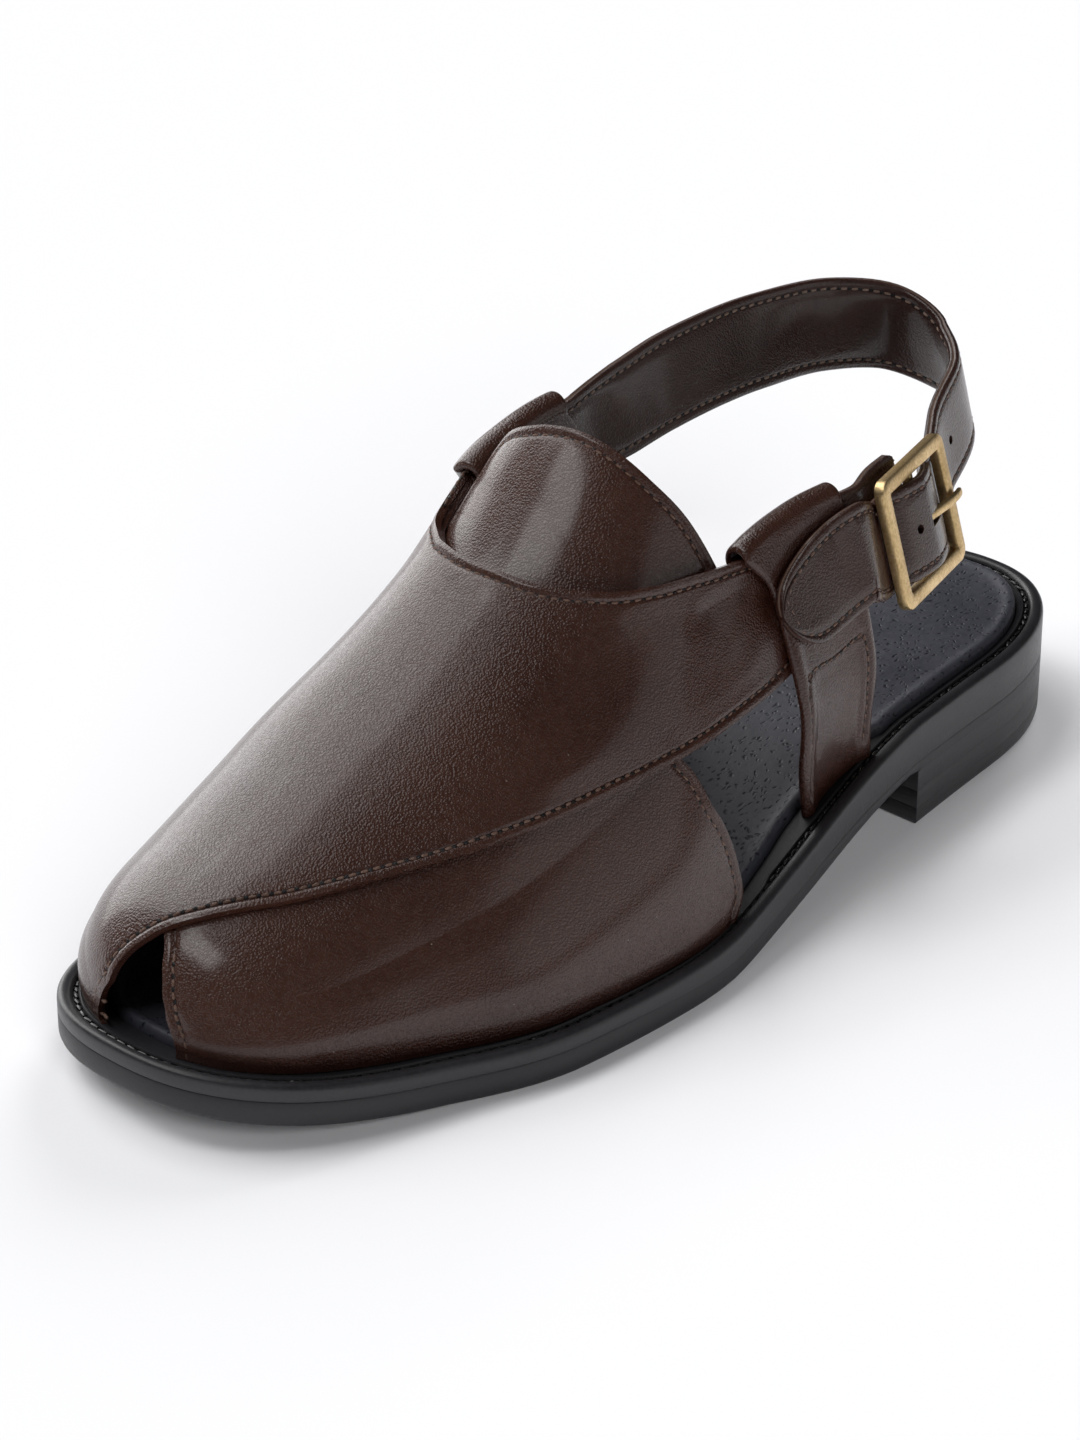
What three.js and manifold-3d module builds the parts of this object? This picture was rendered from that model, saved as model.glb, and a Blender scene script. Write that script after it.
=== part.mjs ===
// A left peshawari chappal: crossed leather upper, open toe, open sides, heel strap with buckle.
// Millimetres, +Z up, toe towards -Y, buckle side towards +X, origin under the middle of the sole.
import * as THREE from 'three';
import Module from 'manifold-3d';

const wasm = await Module();
wasm.setup();

// Sole
const soleLength = 292;          // heel to toe, EU 42 to 43
const ballWidth = 103;           // across the ball of the foot
const toeSpring = 9;             // lift of the tread under the toe tip
const treadFront = 0.76;         // share of the length where the toe spring starts
const shankFront = 0.55;         // share of the length where the arch starts to rise
const heelBreast = 0.275;        // share of the length where the heel block ends
const heelHeight = 14.6;         // heel block
const soleForepart = 10.4;       // outsole and welt together at the ball
const soleSeat = 12.8;           // outsole and welt together at the heel
const weltHeight = 3.4;          // welt alone, at its ridge
const grooveDepth = 1.2;         // stitched groove below the ridge
const ridgeWidth = 3.3;          // from the sole's edge to the groove
const seatWeltWidth = 6.5;       // whole welt where no upper stands on it
const edgeChamfer = 0.7;
const insoleThickness = 3.6;
const insoleRoll = 1.6;          // width of the rounded roll at the insole's edge
const footReach = 2.0;           // of the welt inside the line that the upper stands on
const fit = 0.3;                 // between pieces that touch

// Upper
const leather = 1.5;             // one layer of upper leather
const lap = 0.3;                 // how far the under panel is sunk into the front panel
const instepHeight = 98;        // ridge of the last above the feather edge at the instep
const lastFullness = 2.17;       // 2 is an ellipse, more is squarer
const wallBulge = 2.2;           // how far the side wall swells beyond the feather edge
const tongueThickness = 2.0;

// Side straps and heel strap
const sideStrapThickness = 2.2;
const sleeveGap = 4.0;           // inside the sleeve at the top of a side strap
const sleeveReturn = 26;         // inner leaf of the sleeve
const heelStrapWidth = 22.4;
const heelStrapThickness = 2.6;
const chapeWidth = 19;
const chapeThickness = 2.6;
const chapeRise = 6;             // of the chape above the middle of the buckle

// Buckle
const buckleLength = 34;
const buckleWidth = 31.6;
const buckleBar = 3.6;           // face of a bar
const buckleDepth = 2.8;         // thickness of a bar
const pivotBar = 2.6;            // diameter of the middle bar
const pivotDrop = 1.0;            // of the middle bar behind the middle of the frame
const prongWidth = 2.4;

// Smooth curve through a short table, without overshoot
function through(rows, key, value) {
  const n = rows.length;
  const x = rows.map((r) => r[key]);
  const y = rows.map((r) => r[value]);
  const slope = [];
  for (let i = 0; i < n - 1; i++) slope.push((y[i + 1] - y[i]) / (x[i + 1] - x[i]));
  const m = [slope[0]];
  for (let i = 1; i < n - 1; i++) {
    const flat = slope[i - 1] * slope[i] <= 0;
    m.push(flat ? 0 : (2 * slope[i - 1] * slope[i]) / (slope[i - 1] + slope[i]));
  }
  m.push(slope[n - 2]);
  return (at) => {
    const q = Math.min(Math.max(at, x[0]), x[n - 1]);
    let i = 0;
    while (i < n - 2 && q > x[i + 1]) i++;
    const h = x[i + 1] - x[i];
    const t = (q - x[i]) / h;
    const a = y[i] * (1 + 2 * t) * (1 - t) ** 2 + y[i + 1] * t * t * (3 - 2 * t);
    return a + h * t * (1 - t) * (m[i] * (1 - t) - m[i + 1] * t);
  };
}

const clamp = (v, lo, hi) => Math.min(Math.max(v, lo), hi);
const mix = (a, b, t) => a + (b - a) * t;
const smooth = (t) => clamp(t, 0, 1) ** 2 * (3 - 2 * clamp(t, 0, 1));
const signedPower = (v, e) => Math.sign(v) * Math.abs(v) ** e;
const roundEnd = (u, n) => Math.max(1 - clamp(u, 0, 1) ** n, 0) ** (1 / n);

// Sole outline: half widths as shares of the ball width, along the length from heel to toe
const outlineRows = [
  { along: 0.00, lateral: 0.325, medial: 0.330 },
  { along: 0.12, lateral: 0.335, medial: 0.325 },
  { along: 0.20, lateral: 0.352, medial: 0.325 },
  { along: 0.33, lateral: 0.396, medial: 0.308 },
  { along: 0.47, lateral: 0.462, medial: 0.330 },
  { along: 0.60, lateral: 0.522, medial: 0.422 },
  { along: 0.72, lateral: 0.535, medial: 0.448 },
  { along: 0.84, lateral: 0.485, medial: 0.450 },
  { along: 1.00, lateral: 0.470, medial: 0.470 },
];
const lateralHalf = through(outlineRows, 'along', 'lateral');
const medialHalf = through(outlineRows, 'along', 'medial');
const heelRoundFrom = 0.16;
const toeRoundFrom = 0.72;
const toeApexShift = -8.0;
const heelApexShift = -1.5;

const middleLine = (s) => mix(heelApexShift * (1 - smooth(s / 0.3)), toeApexShift, smooth((s - 0.55) / 0.35));
const endRounding = (s) => roundEnd((heelRoundFrom - s) / heelRoundFrom, 2.2)
  * roundEnd((s - toeRoundFrom) / (1 - toeRoundFrom), 2.4);
const alongToY = (s) => soleLength * (0.5 - s);
const yToAlong = (y) => 0.5 - y / soleLength;

function soleEdge(side, s) {
  const half = side > 0 ? lateralHalf(s) : medialHalf(s);
  return middleLine(s) + side * half * ballWidth * endRounding(s);
}

// Heights of the sole along its length
const treadHeight = (s) => toeSpring * clamp((s - treadFront) / (1 - treadFront), 0, 1.1) ** 1.8
  + heelHeight * shank(clamp((shankFront - s) / (shankFront - heelBreast), 0, 1));
const shank = (u) => 0.55 * u * u * (3 - 2 * u) + 0.45 * u;
const soleThickness = (s) => mix(soleSeat, soleForepart, smooth((s - 0.28) / 0.4));
const rimHeight = (s) => treadHeight(s) + soleThickness(s);
const weltBase = (s) => rimHeight(s) - weltHeight;
const grooveHeight = (s) => rimHeight(s) - grooveDepth;

// Loop of points round the sole, inset from its edge: heel, lateral side, toe, medial side
const halfCount = 34;
const stations = [];
for (let k = 0; k <= halfCount; k++) stations.push((1 - Math.cos((Math.PI * k) / halfCount)) / 2);
const rawLoop = [];
for (let k = 0; k <= halfCount; k++) rawLoop.push([soleEdge(1, stations[k]), alongToY(stations[k]), 1]);
for (let k = halfCount - 1; k > 0; k--) rawLoop.push([soleEdge(-1, stations[k]), alongToY(stations[k]), -1]);

function insetLoop(inset) {
  const n = rawLoop.length;
  return rawLoop.map(([x, y, side], i) => {
    const [ax, ay] = rawLoop[(i + n - 1) % n];
    const [bx, by] = rawLoop[(i + 1) % n];
    const length = Math.hypot(bx - ax, by - ay);
    const d = typeof inset === 'number' ? inset : inset(yToAlong(y), side);
    return [x + (d * (by - ay)) / length, y - (d * (bx - ax)) / length];
  });
}

// Feather edge of the upper, as an inset from the sole's edge
const footRows = [
  { along: 0.260, lateral: 6.0, medial: 6.0 },
  { along: 0.323, lateral: 6.2, medial: 6.2 },
  { along: 0.370, lateral: 7.8, medial: 7.4 },
  { along: 0.416, lateral: 8.0, medial: 7.6 },
  { along: 0.460, lateral: 6.8, medial: 7.2 },
  { along: 0.530, lateral: 5.6, medial: 7.1 },
  { along: 0.610, lateral: 6.4, medial: 7.1 },
  { along: 0.760, lateral: 8.0, medial: 7.2 },
  { along: 0.900, lateral: 8.8, medial: 7.4 },
  { along: 1.000, lateral: 9.4, medial: 9.4 },
];
const lateralFoot = through(footRows, 'along', 'lateral');
const medialFoot = through(footRows, 'along', 'medial');
const footInset = (s, side) => (side > 0 ? lateralFoot(s) : medialFoot(s));
const standing = (s) => smooth((s - 0.27) / 0.04);
const weltWidth = (s, side) => Math.max(seatWeltWidth, (footInset(s, side) + footReach) * standing(s));

// Closed bodies
function bodyFrom(points, faces) {
  const positions = new Float32Array(points.length * 3);
  points.forEach((p, i) => positions.set(p, i * 3));
  let volume = 0;
  for (const [a, b, c] of faces) {
    const [p, q, r] = [points[a], points[b], points[c]];
    volume += p[0] * (q[1] * r[2] - q[2] * r[1]);
    volume += p[1] * (q[2] * r[0] - q[0] * r[2]);
    volume += p[2] * (q[0] * r[1] - q[1] * r[0]);
  }
  const index = faces.flatMap(([a, b, c]) => (volume > 0 ? [a, b, c] : [a, c, b]));
  const geometry = new THREE.BufferGeometry();
  geometry.setAttribute('position', new THREE.BufferAttribute(positions, 3));
  geometry.setIndex(index);
  return geometry;
}

const asManifold = (geometry) => new wasm.Manifold(new wasm.Mesh({
  numProp: 3,
  vertProperties: geometry.getAttribute('position').array,
  triVerts: new Uint32Array(geometry.getIndex().array),
}));

function asGeometry(manifold) {
  const mesh = manifold.getMesh();
  const geometry = new THREE.BufferGeometry();
  geometry.setAttribute('position', new THREE.BufferAttribute(new Float32Array(mesh.vertProperties), 3));
  geometry.setIndex(Array.from(mesh.triVerts));
  return geometry;
}

// Rings of equal count joined into a wall; the ends are closed by strips across each ring,
// or the last ring meets the first one again
function loft(rings, { closed = false, across } = {}) {
  const n = rings[0].length;
  const points = rings.flat();
  const faces = [];
  const count = closed ? rings.length : rings.length - 1;
  for (let r = 0; r < count; r++) {
    const base = r * n;
    const next = ((r + 1) % rings.length) * n;
    for (let i = 0; i < n; i++) {
      const j = (i + 1) % n;
      faces.push([base + i, base + j, next + j], [base + i, next + j, next + i]);
    }
  }
  if (!closed) {
    const last = (rings.length - 1) * n;
    for (const [a, b, c] of across(n)) {
      faces.push([a, c, b], [last + a, last + b, last + c]);
    }
  }
  return bodyFrom(points, faces);
}

// Strips between the points that face each other across a ring that is symmetric about point 0
function facingStrips(n) {
  const faces = [[0, 1, n - 1]];
  const half = n / 2;
  for (let k = 1; k < Math.floor(half); k++) {
    const [a, b, c, d] = [k, k + 1, n - k - 1, n - k];
    if (b === c) faces.push([a, b, d]);
    else faces.push([a, b, c], [a, c, d]);
  }
  return faces;
}

// Strips for a ring made of two runs of equal count laid back to back
function backToBackStrips(n) {
  const faces = [];
  for (let k = 0; k < n / 2 - 1; k++) {
    const [a, b, c, d] = [k, k + 1, n - k - 2, n - k - 1];
    faces.push([a, b, c], [a, c, d]);
  }
  return faces;
}

const ringAt = (inset, height) => insetLoop(inset).map(([x, y]) => [x, y, height(yToAlong(y))]);

// Outsole: rubber slab with a chamfered tread edge and a groove under the welt
function outsole() {
  const rows = [
    { inset: 1.4, share: 0.00 },
    { inset: 0.4, share: 0.07 },
    { inset: 0.0, share: 0.20 },
    { inset: 0.0, share: 0.84 },
    { inset: edgeChamfer, share: 1.00 },
  ];
  const rings = rows.map((r) => ringAt(r.inset, (s) => mix(treadHeight(s), weltBase(s), r.share)));
  return loft(rings, { across: facingStrips });
}

// Welt: ring with a bevelled ridge outside and a sunk groove inside
function welt() {
  const top = (drop) => (s) => rimHeight(s) - drop;
  const rows = [
    { inset: () => edgeChamfer, height: (s) => weltBase(s) + fit },
    { inset: () => 0, height: (s) => weltBase(s) + fit + edgeChamfer },
    { inset: () => 0, height: top(1.2) },
    { inset: () => 0.7, height: top(0.25) },
    { inset: () => 1.7, height: top(0) },
    { inset: () => ridgeWidth - 0.5, height: top(0.2) },
    { inset: () => ridgeWidth, height: top(grooveDepth) },
    { inset: weltWidth, height: top(grooveDepth) },
    { inset: weltWidth, height: (s) => weltBase(s) + fit },
  ];
  return loft(rows.map((r) => ringAt(r.inset, r.height)), { closed: true });
}

// Heel block: flush with the sole above it, with a chamfered tread edge and a straight breast
function heel() {
  const count = 20;
  const chamferInset = 1.2;
  const stationsAlong = [];
  for (let k = 0; k <= count; k++) stationsAlong.push(1 - Math.cos((Math.PI * k) / (2 * count)));
  const outline = (inset) => {
    const from = insetLoop(inset);
    const edge = (sign) => {
      const run = from.filter((_, i) => (sign > 0 ? i <= halfCount : i === 0 || i >= halfCount));
      const ordered = sign > 0 ? run : [run[0], ...run.slice(1).reverse()];
      const rows = ordered.map(([x, y]) => ({ along: yToAlong(y), x }));
      return (s) => {
        let i = 0;
        while (i < rows.length - 2 && rows[i + 1].along < s) i++;
        const share = clamp((s - rows[i].along) / (rows[i + 1].along - rows[i].along), 0, 1);
        return mix(rows[i].x, rows[i + 1].x, share);
      };
    };
    const [lateral, medial] = [edge(1), edge(-1)];
    const back = yToAlong(from[0][1]);
    const at = stationsAlong.map((share) => mix(back, heelBreast, share));
    const ring = [[from[0][0], from[0][1]]];
    for (let k = 1; k <= count; k++) ring.push([lateral(at[k]), alongToY(at[k])]);
    for (let k = count; k >= 1; k--) ring.push([medial(at[k]), alongToY(at[k])]);
    return ring;
  };
  const rows = [
    { inset: chamferInset, z: 0 },
    { inset: 0, z: edgeChamfer },
    { inset: 0, z: heelHeight - fit },
  ];
  const rings = rows.map((r) => outline(r.inset).map(([x, y]) => [x, y, r.z]));
  return loft(rings, { across: facingStrips });
}

// Insole: padded sheet inside the welt, with a rounded roll along its edge
function insole() {
  const edge = (extra) => (s, side) => weltWidth(s, side) + fit + extra;
  const rows = [
    { extra: 0.0, height: (s) => weltBase(s) + fit },
    { extra: 0.0, height: (s) => weltBase(s) + insoleThickness },
    { extra: 0.3 * insoleRoll, height: (s) => weltBase(s) + insoleThickness + 0.9 },
    { extra: insoleRoll, height: (s) => weltBase(s) + insoleThickness + 1.2 },
    { extra: 3 * insoleRoll, height: (s) => weltBase(s) + insoleThickness + 0.6 },
  ];
  return loft(rows.map((r) => ringAt(edge(r.extra), r.height)), { across: facingStrips });
}

// Last: sections across the foot, lengths as shares of the instep height and the ball width
const lastRows = [
  { along: 0.26, height: 1.16, ridge: -0.100, fullness: 1.12 },
  { along: 0.40, height: 1.12, ridge: -0.135, fullness: 1.10 },
  { along: 0.50, height: 1.00, ridge: -0.150, fullness: 1.07 },
  { along: 0.60, height: 0.76, ridge: -0.132, fullness: 1.01 },
  { along: 0.70, height: 0.59, ridge: -0.128, fullness: 1.00 },
  { along: 0.80, height: 0.455, ridge: -0.128, fullness: 0.99 },
  { along: 0.88, height: 0.39, ridge: -0.130, fullness: 1.00 },
  { along: 1.00, height: 0.38, ridge: -0.136, fullness: 1.02 },
];
const lastHeight = through(lastRows, 'along', 'height');
const lastRidge = through(lastRows, 'along', 'ridge');
const lastFull = through(lastRows, 'along', 'fullness');

const featherLoop = insetLoop(footInset);
const featherToe = yToAlong(featherLoop[halfCount][1]);
function featherAt(side, s) {
  const lateralRun = featherLoop.slice(0, halfCount + 1);
  const medialRun = [featherLoop[0], ...featherLoop.slice(halfCount).reverse()];
  const run = side > 0 ? lateralRun : medialRun;
  const y = alongToY(s);
  let i = 0;
  while (i < run.length - 2 && run[i + 1][1] > y) i++;
  return mix(run[i][0], run[i + 1][0], clamp((run[i][1] - y) / (run[i][1] - run[i + 1][1]), 0, 1));
}

// Point of the last: s from heel to toe, t from the lateral feather edge over the ridge to the medial one
function lastPoint(s, t) {
  const [lateral, medial] = [featherAt(1, s), featherAt(-1, s)];
  const middle = (lateral + medial) / 2;
  const half = (lateral - medial) / 2;
  const power = 2 / (lastFullness * lastFull(s));
  const angle = Math.PI * clamp(t, 0, 1);
  const across = signedPower(Math.cos(angle), power);
  const up = Math.sin(angle) ** power;
  const toe = roundEnd((s - toeRoundFrom) / (featherToe - toeRoundFrom), 2.4);
  const lean = (lastRidge(s) * ballWidth - middle) * toe;
  const swell = wallBulge * Math.sin(Math.PI * clamp(up / 0.5, 0, 1)) * Math.sign(Math.cos(angle)) * toe;
  return new THREE.Vector3(
    middle + half * across + lean * up + swell,
    alongToY(s),
    grooveHeight(s) + fit + lastHeight(s) * instepHeight * up * toe,
  );
}

function lastFrame(s, t) {
  const e = 0.004;
  const [s0, s1] = [s - e, Math.min(s + e, featherToe - 0.0005)];
  const [t0, t1] = [Math.max(t - e, 0.0005), Math.min(t + e, 0.9995)];
  const alongLast = lastPoint(s1, t).sub(lastPoint(s0, t));
  const overLast = lastPoint(s, t1).sub(lastPoint(s, t0)).normalize();
  const out = new THREE.Vector3().crossVectors(alongLast, overLast).normalize();
  if (out.dot(new THREE.Vector3(Math.cos(Math.PI * t), 0, 0.6)) < 0) out.negate();
  out.z *= smooth(Math.min(t, 1 - t) / 0.04);
  out.normalize();
  return { at: lastPoint(s, t), over: overLast, out };
}

// Place at a distance outside the last, but never below the floor of the welt's groove
function offLast({ at, out }, distance) {
  const p = at.clone().addScaledVector(out, distance);
  p.z = Math.max(p.z, grooveHeight(yToAlong(p.y)) + fit);
  return p.toArray();
}

// Leaf of leather on the last between two edges given as stations over the last
function leaf({ tFrom, tTo, front, back, low, high, acrossCount, alongCount }) {
  const outer = [];
  const inner = [];
  for (let i = 0; i <= acrossCount; i++) {
    const t = mix(tFrom, tTo, i / acrossCount);
    for (let j = 0; j <= alongCount; j++) {
      const s = mix(back(t), front(t), j / alongCount);
      const frame = lastFrame(s, t);
      outer.push(offLast(frame, high));
      inner.push(offLast(frame, low));
    }
  }
  const w = alongCount + 1;
  const count = outer.length;
  const faces = [];
  for (let i = 0; i < acrossCount; i++) {
    for (let j = 0; j < alongCount; j++) {
      const [a, b, c, d] = [i * w + j, i * w + j + 1, (i + 1) * w + j + 1, (i + 1) * w + j];
      faces.push([a, b, c], [a, c, d], [count + a, count + c, count + b], [count + a, count + d, count + c]);
    }
  }
  const rim = [];
  for (let j = 0; j < alongCount; j++) rim.push(j);
  for (let i = 0; i < acrossCount; i++) rim.push(i * w + alongCount);
  for (let j = alongCount; j > 0; j--) rim.push(acrossCount * w + j);
  for (let i = acrossCount; i > 0; i--) rim.push(i * w);
  rim.forEach((a, k) => {
    const b = rim[(k + 1) % rim.length];
    faces.push([a, count + a, count + b], [a, count + b, b]);
  });
  return bodyFrom([...outer, ...inner], faces);
}

// Edges of the leather, as stations over the last: over runs from the lateral foot to the medial foot
const crossingRows = [
  { over: 0.085, along: 0.390 },
  { over: 0.089, along: 0.426 },
  { over: 0.099, along: 0.466 },
  { over: 0.116, along: 0.514 },
  { over: 0.134, along: 0.548 },
  { over: 0.161, along: 0.597 },
  { over: 0.201, along: 0.689 },
  { over: 0.246, along: 0.765 },
  { over: 0.299, along: 0.833 },
  { over: 0.359, along: 0.885 },
  { over: 0.421, along: 0.918 },
  { over: 0.481, along: 0.937 },
  { over: 0.516, along: 0.947 },
  { over: 0.589, along: 0.957 },
  { over: 0.671, along: 0.962 },
  { over: 1.000, along: 0.965 },
];
const collarRows = [
  { over: 0.079, along: 0.386 },
  { over: 0.160, along: 0.394 },
  { over: 0.181, along: 0.431 },
  { over: 0.219, along: 0.483 },
  { over: 0.254, along: 0.519 },
  { over: 0.319, along: 0.559 },
  { over: 0.391, along: 0.585 },
  { over: 0.436, along: 0.593 },
  { over: 0.499, along: 0.597 },
  { over: 0.566, along: 0.589 },
  { over: 0.599, along: 0.579 },
  { over: 0.644, along: 0.562 },
  { over: 0.664, along: 0.548 },
  { over: 0.684, along: 0.518 },
  { over: 0.710, along: 0.482 },
  { over: 0.900, along: 0.470 },
];
const sideRows = [
  { over: 0.000, along: 0.531 },
  { over: 0.011, along: 0.519 },
  { over: 0.029, along: 0.522 },
  { over: 0.066, along: 0.531 },
  { over: 0.086, along: 0.538 },
  { over: 0.119, along: 0.545 },
  { over: 0.136, along: 0.551 },
  { over: 0.220, along: 0.566 },
  { over: 0.340, along: 0.568 },
];
const toeRows = [
  { over: 0.000, along: 0.9645 },
  { over: 0.184, along: 0.964 },
  { over: 0.339, along: 0.960 },
  { over: 0.416, along: 0.952 },
  { over: 0.456, along: 0.942 },
  { over: 0.520, along: 0.925 },
  { over: 0.650, along: 0.880 },
];
const crossingEdge = through(crossingRows, 'over', 'along');
const collarEdge = through(collarRows, 'over', 'along');
const sideEdge = through(sideRows, 'over', 'along');
const toeEdge = through(toeRows, 'over', 'along');
const underSetback = 0.002;
const sideEdgeEnds = sideRows[sideRows.length - 1].over;

// Front panel: covers the medial side and the toe and crosses to the lateral side strap.
// Its back edge leaves the collar inside the medial sleeve and turns down to the foot.
const medialTurn = { from: 0.685, to: 0.72 };

function frontPanel() {
  return leaf({
    tFrom: crossingRows[0].over,
    tTo: 1,
    front: crossingEdge,
    back: (t) => {
      const turned = smooth((t - medialTurn.from) / (medialTurn.to - medialTurn.from));
      return mix(collarEdge(t), Math.max(sideEdge(1 - t), collarEdge(t)), turned);
    },
    low: 0,
    high: 2 * leather,
    acrossCount: 32,
    alongCount: 12,
  });
}

// Under panel: covers the lateral side and crosses below the front panel to the medial side strap
function underPanel() {
  return leaf({
    tFrom: 0,
    tTo: collarRows[collarRows.length - 1].over,
    front: (t) => Math.min(crossingEdge(1 - t), toeEdge(t)),
    back: (t) => underSetback + (t < sideEdgeEnds ? Math.max(sideEdge(t), collarEdge(t)) : collarEdge(t)),
    low: lap,
    high: leather,
    acrossCount: 32,
    alongCount: 12,
  });
}

const upper = () => asGeometry(asManifold(frontPanel()).add(asManifold(underPanel())));

// Tongue: half-round tab that comes out from under the collar
const tongueRows = [
  { over: 0.196, along: 0.456 },
  { over: 0.254, along: 0.467 },
  { over: 0.326, along: 0.483 },
  { over: 0.399, along: 0.494 },
  { over: 0.474, along: 0.502 },
  { over: 0.556, along: 0.509 },
  { over: 0.620, along: 0.508 },
  { over: 0.645, along: 0.516 },
  { over: 0.655, along: 0.530 },
  { over: 0.661, along: 0.545 },
];
const tongueUnderCollar = 0.035;

function tongue() {
  return leaf({
    tFrom: tongueRows[0].over,
    tTo: tongueRows[tongueRows.length - 1].over,
    front: (t) => collarEdge(t) + tongueUnderCollar,
    back: through(tongueRows, 'over', 'along'),
    low: -2 * fit - tongueThickness,
    high: -2 * fit,
    acrossCount: 22,
    alongCount: 6,
  });
}

// Layers of a side strap and its sleeve, counted outwards from the last
const layerRoom = 0.5;           // between the leaves and the panels that end inside the sleeve
const outerLeafLow = 2 * leather + layerRoom;
const outerLeafHigh = outerLeafLow + sideStrapThickness;
const innerLeafHigh = outerLeafLow - sleeveGap;
const innerLeafLow = innerLeafHigh - leather;
const sleeveMiddle = (outerLeafLow + innerLeafHigh) / 2;
const footTuck = 4.3;            // how far the strap draws in at its foot, where no panel lies under it
const footTuckShare = 0.38;

// Side strap: rises from the welt, folds over at the top and returns inside as the leaf of a sleeve
function sideStrap(side, plan) {
  const rise = 14;
  const turn = 6;
  const down = 4;
  const count = 8;
  const frontAt = through(plan, 'rise', 'front');
  const backAt = through(plan, 'rise', 'back');
  const { topFront, topBack } = plan.crest;
  const rings = [];
  for (let k = 0; k <= count; k++) {
    const w = k / count;
    const top = mix(topBack, topFront, w);
    const frameAt = (share) => {
      const over = side > 0 ? top * share : 1 - top * share;
      return lastFrame(mix(backAt(share), frontAt(share), w), over);
    };
    const outside = [];
    const inside = [];
    for (let i = 0; i <= rise; i++) {
      const share = (i / rise) ** 1.4;
      const f = frameAt(share);
      const tuck = footTuck * (1 - smooth(share / footTuckShare));
      outside.push(offLast(f, outerLeafHigh - tuck));
      inside.push(offLast(f, outerLeafLow - tuck));
    }
    const crest = frameAt(1);
    const upward = crest.over.clone().multiplyScalar(side);
    const centre = crest.at.clone().addScaledVector(crest.out, sleeveMiddle);
    const arm = (out, up) => centre.clone()
      .addScaledVector(crest.out, out)
      .addScaledVector(upward, up)
      .toArray();
    for (let i = 1; i < turn; i++) {
      const a = (Math.PI * i) / turn;
      const skin = mix(sideStrapThickness, leather, i / turn);
      const r = sleeveGap / 2 + skin;
      outside.push(arm(r * Math.cos(a), r * Math.sin(a)));
      inside.push(arm((sleeveGap / 2) * Math.cos(a), (sleeveGap / 2) * Math.sin(a)));
    }
    const riseLength = frameAt(0).at.distanceTo(crest.at);
    for (let i = 0; i <= down; i++) {
      const f = frameAt(1 - (i / down) * (sleeveReturn / riseLength));
      outside.push(offLast(f, innerLeafLow));
      inside.push(offLast(f, innerLeafHigh));
    }
    rings.push([...outside, ...inside.reverse()]);
  }
  return loft(rings, { across: backToBackStrips });
}

// Edges of the side straps from foot to crest, and how far over the last the crest lies at each edge
const lateralStrapPlan = [
  { rise: 0.00, front: 0.412, back: 0.324 },
  { rise: 0.20, front: 0.423, back: 0.329 },
  { rise: 0.45, front: 0.424, back: 0.331 },
  { rise: 0.75, front: 0.422, back: 0.329 },
  { rise: 1.00, front: 0.442, back: 0.333 },
];
lateralStrapPlan.crest = { topFront: 0.186, topBack: 0.163 };
const medialStrapPlan = [
  { rise: 0.00, front: 0.462, back: 0.352 },
  { rise: 0.25, front: 0.474, back: 0.360 },
  { rise: 0.60, front: 0.494, back: 0.388 },
  { rise: 1.00, front: 0.528, back: 0.429 },
];
medialStrapPlan.crest = { topFront: 0.329, topBack: 0.262 };

// Buckle: place of its centre, turned with the strap and leaning in at the top
const buckleAt = new THREE.Vector3(0.289 * ballWidth, 0.253 * soleLength, 0.2515 * soleLength);
const buckleTurn = THREE.MathUtils.degToRad(-15);
const buckleLean = THREE.MathUtils.degToRad(15);
const strapWay = new THREE.Vector3(Math.sin(buckleTurn), Math.cos(buckleTurn), 0);
const buckleOut = new THREE.Vector3(Math.cos(buckleTurn), -Math.sin(buckleTurn), 0)
  .multiplyScalar(Math.cos(buckleLean)).add(new THREE.Vector3(0, 0, Math.sin(buckleLean)));
const buckleUp = new THREE.Vector3().crossVectors(buckleOut, strapWay);
const barAt = (buckleLength - buckleBar) / 2;
const barHold = buckleBar / 2 + 1;
const underBar = -(buckleDepth / 2 + fit + heelStrapThickness / 2);
const overPivot = pivotBar / 2 - pivotDrop + fit + heelStrapThickness / 2;
const behindPivot = -pivotBar / 2 - pivotDrop - fit - chapeThickness / 2;
const behindStrap = underBar - heelStrapThickness / 2 - 2 * fit - chapeThickness / 2;

// Stops of a strap's route: on the last, by the buckle, or free round the heel
const onLast = (along, over, off, width) => {
  const { at, out } = lastFrame(along, over);
  const reach = lastPoint(along, over + 0.01).distanceTo(lastPoint(along, over - 0.01)) / 0.02;
  const step = width / 2 / reach;
  const middle = lastPoint(along, over - step).add(lastPoint(along, over + step)).multiplyScalar(0.5);
  return {
    at: at.clone().addScaledVector(out, off),
    lean: THREE.MathUtils.radToDeg(Math.asin(out.z)),
    camber: at.clone().sub(middle).dot(out),
  };
};
const byBuckle = (a, off, up = 0) => ({
  at: buckleAt.clone()
    .addScaledVector(strapWay, a)
    .addScaledVector(buckleOut, off)
    .addScaledVector(buckleUp, up),
  lean: THREE.MathUtils.radToDeg(buckleLean),
  camber: 0,
});
const free = (across, along, up, lean) => ({
  at: new THREE.Vector3(across * ballWidth, along * soleLength, up * soleLength),
  lean,
  camber: 0,
});
const outsideSleeve = outerLeafHigh + layerRoom + 0.1 + heelStrapThickness / 2;

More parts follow.
